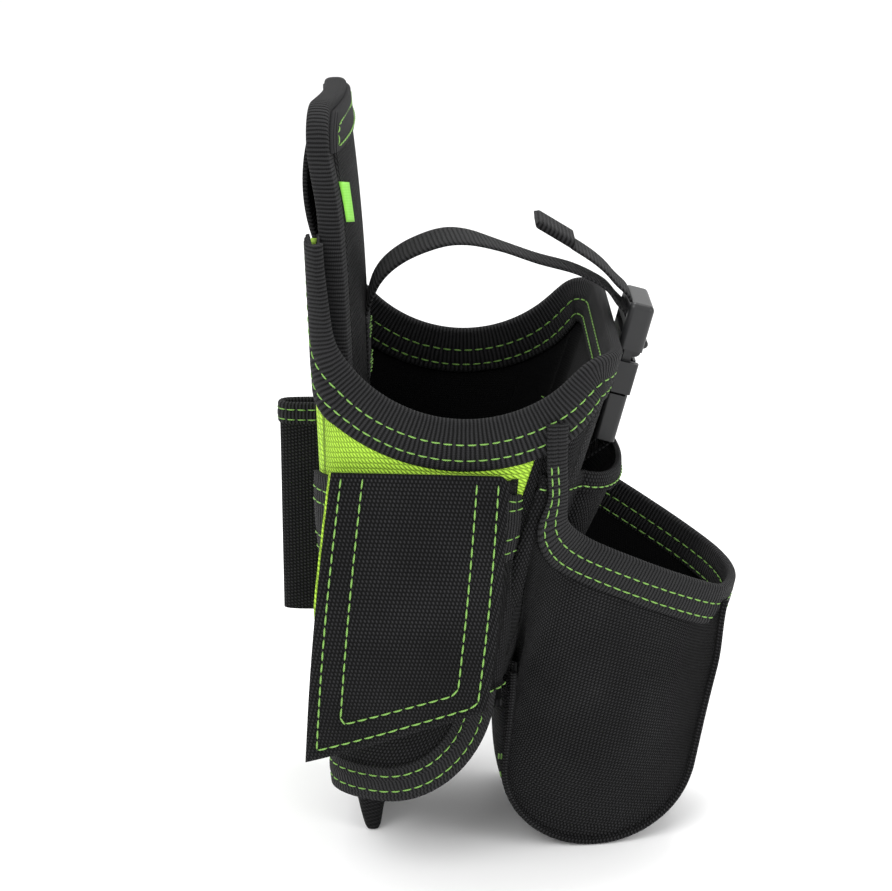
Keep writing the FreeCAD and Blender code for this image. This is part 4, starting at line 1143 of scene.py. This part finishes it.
# ------------------------------------------------------------------ tool loop
def loop_point(turn, z, off=0.0):
    """The tool loop's plan: a half oval on the front wall, its ends lying back along the wall's corners."""
    turn, z = np.broadcast_arrays(np.asarray(turn, float), np.asarray(z, float))
    t = (z - LOOP_FOOT) / (LOOP_TOP - LOOP_FOOT)
    cx, a, b = mix(38.0, 57.0, t), mix(13.5, 26.5, t), mix(36.0, 52.0, t)
    oval = stack(cx + (a + off) * np.cos(turn), (b + off) * np.sin(turn), z)
    past = np.clip(np.abs(turn) - 1.45, 0, None) / 0.25
    corner = 1.35 * (1 - np.clip(past, 0, 1))
    xf, hw = front_x(z) - FRONT_R, half_width(z) - FRONT_R
    r = FRONT_R + 1.9 + off
    wing = stack(xf + r * np.sin(corner + 0.22), np.sign(turn) * (hw + r * np.cos(corner + 0.22)), z)
    return mix(oval, wing, smooth(past / 0.9)[..., None])


def lip_z(x):
    return LOOP_TOP - (x - 20.0) * 29.0 / 80.0


def make_tool_loop():
    turn = np.linspace(-1.7, 1.7, 110)[:, None]
    v = np.linspace(0, 1, 50)[None, :]
    z = np.full((110, 50), 150.0)
    for _ in range(8):
        z = mix(122.0, lip_z(loop_point(turn, z)[..., 0]), v)
    outer = loop_point(turn, z, 0.5 * np.sin(math.pi * v))
    band = slab("tool_loop_cloth", outer, loop_point(turn, z, -1.7), BALLISTIC, BALLISTIC)
    keep(band, "pouch", "black_fabric", "tool_loop")
    top = loop_point(turn[:, 0], z[:, -1], -0.8)
    out = unit((top - np.array([50.0, 0, 0])) * np.array([1.0, 0.6, 0]))
    normal, down = frames(top, out)
    down = down * np.sign(-down[:, 2:])
    section = folded_section(1.7, 7.5, 7.0, (5.0,), 0.55, 12, 0.1)
    hem = sweep("tool_loop_edge", top, normal, down, section, BALLISTIC, True)
    keep(hem, "pouch", "webbing", "tool_loop_hem")
    for side in (1, -1):
        line = top + normal * (side * 1.45) + down * 5.0
        stitches("pouch", line, normal * side, 3.6, 4.4, 0.32, 70)


# ------------------------------------------------------------------ side pocket and flap
def pocket_point(turn, z, off=0.0):
    """The bulged side pocket: turn 0 at its front end, pi at its rear end, through the near side."""
    t = (np.asarray(z, float) - 40.0) / 130.0
    cx, cy = mix(-14.0, -10.0, t), mix(-58.0, -62.0, t)
    a, b = mix(33.0, 41.0, t), mix(20.0, 22.0, t)
    y = cy - (b + off) * np.sin(turn)
    limit = flap_y(np.clip(z, 60, 189)) + 5.2
    tuck = smooth((np.asarray(z, float) - 140.0) / 22.0)
    return stack(cx + (a + off) * np.cos(turn), mix(y, np.maximum(y, limit - 0.35 * off), tuck), z)


def pocket_foot(turn, off=0.0, lift=0.0):
    z = np.full(np.shape(turn), 50.0)
    for _ in range(8):
        z = bottom_z(pocket_point(turn, z, off)[..., 0], -lift)
    return z


def make_side_pocket():
    turn = np.linspace(0.12, math.pi - 0.05, 110)
    foot = pocket_foot(turn)
    v = np.linspace(0, 1, 90)[None, :]
    z = mix(foot[:, None], POCKET_TOP, v)
    bulge = 1.8 * np.sin(math.pi * np.clip((v - 0.1) / 0.8, 0, 1)) + 0.6 * ripple(turn[:, None] * 40, z, 31)
    outer = pocket_point(turn[:, None], z, bulge)
    body = slab("side_pocket_cloth", outer, pocket_point(turn[:, None], z, bulge - 1.6), BALLISTIC, LINING)
    keep(body, "pouch", "black_fabric", "side_pocket", "side_pocket_loop_patch")
    make_pocket_hem(turn, foot)
    make_pocket_rim(turn)


def make_pocket_hem(turn, foot):
    """Ribbed webbing along the side pocket's curved foot, folded under, with two green rows."""
    lift = np.linspace(-1.0, 14.5, 26)[None, :]
    level = np.zeros((len(turn), lift.shape[1]))
    for k in range(lift.shape[1]):
        level[:, k] = pocket_foot(turn, 1.0, lift[0, k])
    swell = 1.3 + 0.5 * np.sin(math.pi * (lift + 1) / 15.5) - 0.35 * np.exp(-((lift - 3.6) / 0.9) ** 2)
    swell = swell - 0.35 * np.exp(-((lift - 10.6) / 0.9) ** 2)
    outer = pocket_point(turn[:, None], level, swell)
    inner = pocket_point(turn[:, None], level + 0.3, -0.6)
    hem = slab("side_pocket_hem_band", outer, inner, WEBBING, WEBBING)
    keep(hem, "pouch", "webbing", "side_pocket_hem")
    for k, row in enumerate((3.6, 10.6)):
        height = pocket_foot(turn, 1.0, row)
        line = pocket_point(turn, height, 1.55)
        out = unit(pocket_point(turn, height, 3.0) - pocket_point(turn, height, 1.0))
        stitches("pouch", line, out, seed=80 + k)


def make_pocket_rim(turn):
    """The wide webbing round the side pocket's mouth, behind the flap."""
    v = np.linspace(0, 1, 40)[None, :]
    top = 183.5 - 8.0 * smooth((0.95 - turn) / 0.5)[:, None]
    z = mix(MOUTH_FOOT, top, v)
    swell = 1.6 + 0.8 * np.sin(math.pi * v) + 0.2 * ripple(turn[:, None] * 30, z, 33)
    outer = pocket_point(turn[:, None], z, swell)
    inner = pocket_point(turn[:, None], z, -1.8 + 0 * v)
    band = slab("side_pocket_mouth_band", outer, inner, WEBBING, LINING)
    keep(band, "pouch", "webbing", "side_pocket_rim", "flap_anchor_band")
    for k, level in enumerate((151.5, 157.5, 172.0, 177.5)):
        at = level - (2.5 + 2 * (level > 175)) * (level > 170) * smooth((0.95 - turn) / 0.5)
        rise = 1.75 + 0.8 * math.sin(math.pi * (level - MOUTH_FOOT) / 36)
        line = pocket_point(turn, at, rise)
        out = unit(pocket_point(turn, at, 3.0) - pocket_point(turn, at, 1.0))
        stitches("pouch", line, out, seed=90 + k)


def flap_y(z):
    """Depth of the flap's outer face: the arc from its seam, over the pocket, to its hanging edge."""
    (y0, z0), (y1, z1), (y2, z2) = FLAP_ARC
    d = 2 * (y0 * (z1 - z2) + y1 * (z2 - z0) + y2 * (z0 - z1))
    s0, s1, s2 = y0 * y0 + z0 * z0, y1 * y1 + z1 * z1, y2 * y2 + z2 * z2
    cy = (s0 * (z1 - z2) + s1 * (z2 - z0) + s2 * (z0 - z1)) / d
    cz = (s0 * (y2 - y1) + s1 * (y0 - y2) + s2 * (y1 - y0)) / d
    r = math.hypot(y0 - cy, z0 - cz)
    return cy - np.sqrt(r * r - (np.asarray(z, float) - cz) ** 2)


def flap_point(u, v, off=0.0):
    """u across from the rear edge to the front edge, v down from the seam, off in front of the cloth."""
    x = mix(mix(FLAP_TL[0], FLAP_TR[0], u), mix(FLAP_BL[0], FLAP_BR[0], u), v)
    z = mix(mix(FLAP_TL[1], FLAP_TR[1], u), mix(FLAP_BL[1], FLAP_BR[1], u), v)
    x = x - 1.2 * np.sin(math.pi * v) * (1 - u) + 0.8 * np.sin(math.pi * v) * u
    z = z - 1.8 * smooth((u - 0.95) / 0.05) * (1 - smooth(v / 0.05))
    curl = 1.6 * (2 * u - 1) ** 4 * smooth(v / 0.5) + 1.1 * smooth((v - 0.7) / 0.3) * (1 - u) ** 2
    cup = 1.2 * (1 - (2 * u - 1) ** 2) * np.sin(math.pi * v)
    y = flap_y(z) + 0.6 * curl - cup - off + 0.35 * ripple(x, z, 41) * smooth(v / 0.2)
    return stack(x, y, z)


def make_flap():
    u = np.linspace(0, 1, 100)[:, None]
    v = np.linspace(0, 1, 130)[None, :]
    edge = np.minimum(np.minimum(u, 1 - u) * FLAP_WIDE, (1 - v) * FLAP_DROP)
    groove = 0.3 * sum(np.exp(-((edge - inset) / 0.9) ** 2) for inset in FLAP_ROWS)
    roll = 0.5 * (1 - smooth(edge / 1.6))
    outer = flap_point(u, v, -groove - roll)
    face = slab("flap_cloth", outer[::-1], flap_point(u, v, -1.7)[::-1], FLAP_WEAVE, FLAP_WEAVE)
    keep(face, "flap", "black_fabric", "flap_outer", "flap_hook_patch")
    peek = 0.012 * (1 - smooth((v - 0.42) / 0.1))
    wide = mix(0.006 - 1.5 * peek, 0.992, u)
    lining = slab("flap_lining_cloth", flap_point(wide, v * 0.995, -1.6)[::-1],
                  flap_point(wide, v * 0.995, -2.3)[::-1], LIME_WEAVE, LIME_WEAVE)
    keep(lining, "flap", "lime_fabric", "flap_lining")
    for k, inset in enumerate(FLAP_ROWS):
        a, b = inset / FLAP_WIDE, inset / FLAP_DROP
        corners = [(a, 0.012), (a * 1.02, 1 - b), (1 - a, 1 - b), (1 - a, 0.012)]
        line = []
        for (u0, v0), (u1, v1) in zip(corners, corners[1:]):
            t = np.linspace(0, 1, 60)[:-1]
            line.append(flap_point(mix(u0, u1, t), mix(v0, v1, t), 0.02))
        line = np.concatenate(line)
        stitches("flap", line, facing((0, -1.0, 0.05), line), 4.2, 4.9, 0.34, 100 + k)


# ------------------------------------------------------------------ sleeve, foot, webbing
def sleeve_ring(turn, z, grow=0.0, squeeze=1.0):
    """The flat sleeve's rounded outline at height z, leaning with the wall."""
    x0, x1, depth = SLEEVE_X0 - grow, SLEEVE_X1 + grow, SLEEVE_DEPTH + 2 * grow
    half_l, half_d = (x1 - x0) / 2, depth / 2 * squeeze
    x = (x0 + x1) / 2 + half_l * boxy(np.cos(turn), 0.32)
    lean = (170.0 - z) * math.tan(math.radians(2.0))
    y = SLEEVE_Y - lean + half_d * boxy(np.sin(turn), 0.62)
    return stack(x, y, z)


def make_sleeve():
    turn = np.linspace(0, 2 * math.pi, 121)[:-1]
    z = np.linspace(SLEEVE_Z0, SLEEVE_Z1, 60)
    outer = sleeve_ring(turn[None, :], z[:, None], 0.2 * ripple(turn[None, :] * 20, z[:, None], 51))
    inner = sleeve_ring(turn[None, :], z[:, None], -1.5)
    rows, columns = outer.shape[:2]
    foot_out, foot_in = outer[0].mean(0), inner[1].mean(0)
    rings = [outer.reshape(-1, 3), inner[::-1].reshape(-1, 3)]
    section = np.concatenate([foot_out[None], *rings, foot_in[None]])
    ring_rows = 2 * rows
    quads = grid_quads(ring_rows, columns, 1, True)[:, ::-1]
    u = np.broadcast_to(arc_length(outer, 1)[:1], (ring_rows, columns))
    v = np.concatenate([z, z[::-1]])[:, None] + np.zeros((ring_rows, columns))
    uv = turned(corner_uvs(v, u, ring_rows, columns, True))
    faces, uvs = [list(q) for q in quads], [uv]
    last = len(section) - 1
    for k in range(columns):
        m = (k + 1) % columns
        faces.append([0, 1 + k, 1 + m])
        uvs.append(section[[0, 1 + k, 1 + m]][:, :2])
        base = 1 + (ring_rows - 1) * columns
        faces.append([last, base + m, base + k])
        uvs.append(section[[last, base + m, base + k]][:, :2])
    body = build("far_sleeve_cloth", section, faces, uvs, [0] * len(faces), [BALLISTIC])
    keep(body, "pouch", "black_fabric", "far_sleeve")
    ring = np.linspace(0, 2 * math.pi, 200)
    z = np.full(200, 169.0)
    path = sleeve_ring(ring, z, -0.75)
    out = unit(sleeve_ring(ring, z, 2.0, 1.1) - sleeve_ring(ring, z, 0.0, 0.9))
    out = unit(out * np.array([1, 1, 0]))
    down = facing((0, 0, -1.0), path)
    section = folded_section(1.5, 9.0, 8.5, SLEEVE_ROWS, 1.0)
    band = sweep("far_sleeve_band", path, out, down, section, WEBBING)
    keep(band, "pouch", "webbing", "far_sleeve_rim")
    for k, row in enumerate(SLEEVE_ROWS):
        stitches("pouch", path + out * 1.9 + down * row, out, seed=110 + k)


def make_foot():
    """The narrow sheath's sewn end: a flattened fabric taper with a turned tip."""
    turn = np.linspace(0, 2 * math.pi, 49)[:-1]
    z = np.linspace(0.0, FOOT_TOP, 30)
    t = z / FOOT_TOP
    lump = 0.35 * ripple(turn[None, :] * 12, z[:, None] * 3, 61)
    half_x = (3.0 + 8.2 * t ** 0.8)[:, None] + lump
    half_y = (21.0 + 7.0 * t)[:, None] + lump
    x = -32.5 - 1.5 * t[:, None] + half_x * boxy(np.cos(turn), 0.6)
    y = half_y * boxy(np.sin(turn), 0.2)
    rings = stack(x, y, z[:, None])
    rings = np.concatenate([rings[:1], rings])
    centre = rings[0].mean(0)
    rings[0] = centre + (rings[0] - centre) * 0.93
    rings[0][:, 2] = 0.0
    rings[1][:, 2] = 0.5
    rows, columns = rings.shape[:2]
    quads = grid_quads(rows, columns, 0, True)[:, ::-1]
    u, v = arc_length(rings, 1), arc_length(rings, 0)
    uv = turned(corner_uvs(v, u, rows, columns, True))
    bottom, top = list(range(columns))[::-1], list(range((rows - 1) * columns, rows * columns))
    faces = [list(q) for q in quads] + [bottom, top]
    flat = rings.reshape(-1, 3)
    uvs = [uv, flat[bottom][:, :2], flat[top][:, :2]]
    foot = build("rear_foot_cloth", flat, faces, uvs, [0] * len(faces), [BALLISTIC])
    keep(foot, "pouch", "black_fabric", "rear_foot")


def curve_points(points, count):
    """A smooth line through points (x, z), evenly spaced, by Catmull-Rom spans."""
    p = np.array(points, float)
    p = np.concatenate([[2 * p[0] - p[1]], p, [2 * p[-1] - p[-2]]])
    out = []
    for a, b, c, d in zip(p, p[1:], p[2:], p[3:]):
        t = np.linspace(0, 1, 24)[:-1, None]
        bend, twist = 2 * a - 5 * b + 4 * c - d, 3 * b - a - 3 * c + d
        out.append(0.5 * (2 * b + (c - a) * t + bend * t ** 2 + twist * t ** 3))
    line = np.concatenate(out + [p[-2:-1]])
    length = arc_length(line)
    return spaced(line, length, np.linspace(0, length[-1], count))


def ribbon(name, line, half, thick, material, roll=0.0):
    """Webbing along an (x, z) line: a closed band, its roll in radians tilting it about its own line."""
    count = len(line)
    tangent = unit(np.gradient(line, axis=0))
    normal = np.stack([-tangent[:, 1], 0 * tangent[:, 0], tangent[:, 0]], -1)
    across = facing((0, 1.0, 0), normal)
    roll = np.broadcast_to(np.asarray(roll, float), (count,))[:, None]
    tilted = across * np.cos(roll) + normal * np.sin(roll)
    raised = normal * np.cos(roll) - across * np.sin(roll)
    w = np.linspace(-1, 1, 15)
    edge = 1 - 0.55 * np.abs(w) ** 8
    path = np.stack([line[:, 0], np.zeros(count), line[:, 1]], -1)
    top = path[:, None] + tilted[:, None] * (w * half)[None, :, None]
    up = raised[:, None] * (edge * thick / 2)[None, :, None]
    return slab(name, (top + up)[:, ::-1], (top - up)[:, ::-1], material, material)


def make_strap():
    line = curve_points(STRAP_LINE, 260)
    t = np.linspace(0, 1, 260)
    roll = 0.1 * smooth(t / 0.2) - 0.16 * smooth((t - 0.35) / 0.25) + 0.06 * smooth((t - 0.84) / 0.12)
    strap = ribbon("retaining_strap", line, STRAP_HALF, 1.7, FINE_WEB, roll)
    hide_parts("strap_webbing", "strap_root")
    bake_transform(strap)
    z = np.linspace(206, 231, 30)
    anchor_line = np.stack([board_front(z) + 1.6, z], -1)
    anchor = ribbon("strap_anchor_patch", anchor_line, STRAP_HALF, 1.6, FINE_WEB)
    keep(anchor, "pouch", "webbing", "strap_anchor")
    for k, z in enumerate((209.0, 213.0, 224.0, 228.0)):
        y = np.linspace(-11, 11, 8)
        row = stack(board_front(np.full(8, z)) + 2.7, y, np.full(8, z))
        stitches("pouch", row, facing((1.0, 0, 0), row), seed=120 + k)


def make_tail():
    """The strap's free end: a band out of the buckle, then its end folded back on itself."""
    line = curve_points(TAIL_LINE, 120)
    s = arc_length(line)
    fold = smooth((s - (s[-1] - 19.0)) / 1.2)
    tangent = unit(np.gradient(line, axis=0))
    thick = mix(1.6, 4.2, fold)
    w = np.linspace(-1, 1, 15)
    edge = (1 - 0.5 * np.abs(w) ** 8)[None, :]
    end = np.sqrt(np.clip(1 - smooth((s - s[-1] + 2.2) / 2.2) ** 2, 0.03, 1))
    path = np.stack([line[:, 0], np.zeros(len(line)), line[:, 1]], -1)
    raised = np.stack([-tangent[:, 1], 0 * tangent[:, 0], tangent[:, 0]], -1)
    middle = path + raised * (-(thick - 1.6) / 2)[:, None]
    top = middle[:, None] + np.array([0, 1.0, 0]) * (w * TAIL_HALF)[None, :, None]
    up = raised[:, None] * (edge * (thick * end / 2)[:, None])[..., None]
    tail = slab("strap_free_end", top + up, top - up, FINE_WEB, FINE_WEB)
    keep(tail, "tail", "webbing", "strap_tail")


def make_tab():
    """The socket's webbing tab: up from the front wall, round the buckle's bar and back down."""
    c, s = math.cos(SOCKET_LEAN), math.sin(SOCKET_LEAN)

    def bar(n, h):
        return SOCKET_AT[0] + n * c + h * s, SOCKET_AT[1] - n * s + h * c

    round_bar = [bar(1.5, -36.0), bar(1.5, -31.2), bar(2.6, -29.4), bar(4.8, -28.9), bar(7.0, -29.4),
                 bar(8.1, -31.2), bar(8.0, -36.0)]
    up = [(front_x(158) + 1.0, 158), (front_x(166) + 1.2, 166)]
    back = [(front_x(166) + 3.4, 166), (front_x(158) + 2.8, 158)]
    points = up + round_bar + back
    line = curve_points(points, 200)
    tab = ribbon("socket_tab_webbing", line, TAIL_HALF, 1.3, FINE_WEB)
    keep(tab, "pouch", "webbing", "socket_web_tab")


# ------------------------------------------------------------------ buckle, floor, light, camera
def finish_buckle():
    for name in ("buckle_socket", "buckle_plug", "near_release_arm", "far_release_arm"):
        node = frame["nodes"][name]
        node.data.materials.clear()
        node.data.materials.append(PLASTIC)
        bevel = node.modifiers.new("soft_edges", "BEVEL")
        bevel.width = 0.0009
        bevel.segments = 3
        bevel.limit_method = "ANGLE"
        bevel.angle_limit = math.radians(32)
        for polygon in node.data.polygons:
            polygon.use_smooth = True
        normals = node.modifiers.new("even_normals", "WEIGHTED_NORMAL")
        normals.keep_sharp = False
        normals.weight = 80


def mark_material():
    n = Nodes("lime_mark")
    rows = wave(n, n.uv()[1], 0.0007)
    tint = n.ramp(n.math("MULTIPLY_ADD", rows, 0.4, n.math("MULTIPLY", n.noise(200.0), 0.6)),
                  [(0.2, (0.22, 0.62, 0.07)), (0.8, (0.32, 0.76, 0.12))])
    return n.finish(tint, 0.6, n.bump(rows, 0.0001, 0.6), 0.0)


MARK = mark_material()


def make_floor():
    size = 3.0
    mesh = bpy.data.meshes.new("studio_floor")
    corners = [(-size, -size, 0), (size, -size, 0), (size, size, 0), (-size, size, 0)]
    mesh.from_pydata(corners, [], [(0, 1, 2, 3)])
    mesh.materials.append(floor_material())
    floor = bpy.data.objects.new("studio_floor", mesh)
    floor.location.z = -0.0002
    bpy.context.collection.objects.link(floor)


def area_light(name, place, aim, size, power):
    light = bpy.data.lights.new(name, "AREA")
    light.shape = "DISK"
    light.size = size
    light.energy = power
    lamp = bpy.data.objects.new(name, light)
    lamp.location = place
    lamp.rotation_euler = (Vector(aim) - Vector(place)).to_track_quat("-Z", "Y").to_euler()
    bpy.context.collection.objects.link(lamp)


def make_light():
    world = bpy.data.worlds.new("studio")
    world.use_nodes = True
    world.node_tree.nodes["Background"].inputs[0].default_value = (1.0, 1.0, 1.0, 1.0)
    world.node_tree.nodes["Background"].inputs[1].default_value = 1.02
    bpy.context.scene.world = world
    area_light("key", (-0.7, -1.3, 1.5), (0, 0, 0.17), 1.1, 19)
    area_light("fill", (1.3, -1.0, 0.9), (0, 0, 0.15), 1.0, 8)
    area_light("top", (0.2, 0.5, 1.7), (0, 0, 0.15), 0.9, 11)


def make_camera():
    distance, elevation = 0.950, math.radians(18)
    target = Vector(to_row(np.array([0.0, 0.0, 173.0])))
    data = bpy.data.cameras.new("camera")
    data.sensor_width = 36.0
    data.lens = 89.15
    camera = bpy.data.objects.new("camera", data)
    away = Vector((0, -math.cos(elevation), math.sin(elevation)))
    camera.location = target + away * distance
    camera.rotation_euler = (-away).to_track_quat("-Z", "Y").to_euler()
    bpy.context.collection.objects.link(camera)
    bpy.context.scene.camera = camera


make_camera()
make_light()
make_floor()
make_main_pocket()
make_main_rim()
make_board()
make_label()
make_belt_loop()
make_scoop()
make_tool_loop()
make_side_pocket()
make_flap()
make_sleeve()
make_foot()
make_strap()
make_tail()
make_tab()
finish_buckle()
sew("pouch_stitching", "pouch")
sew("flap_stitching", "flap")
bpy.context.scene.view_settings.view_transform = "Standard"
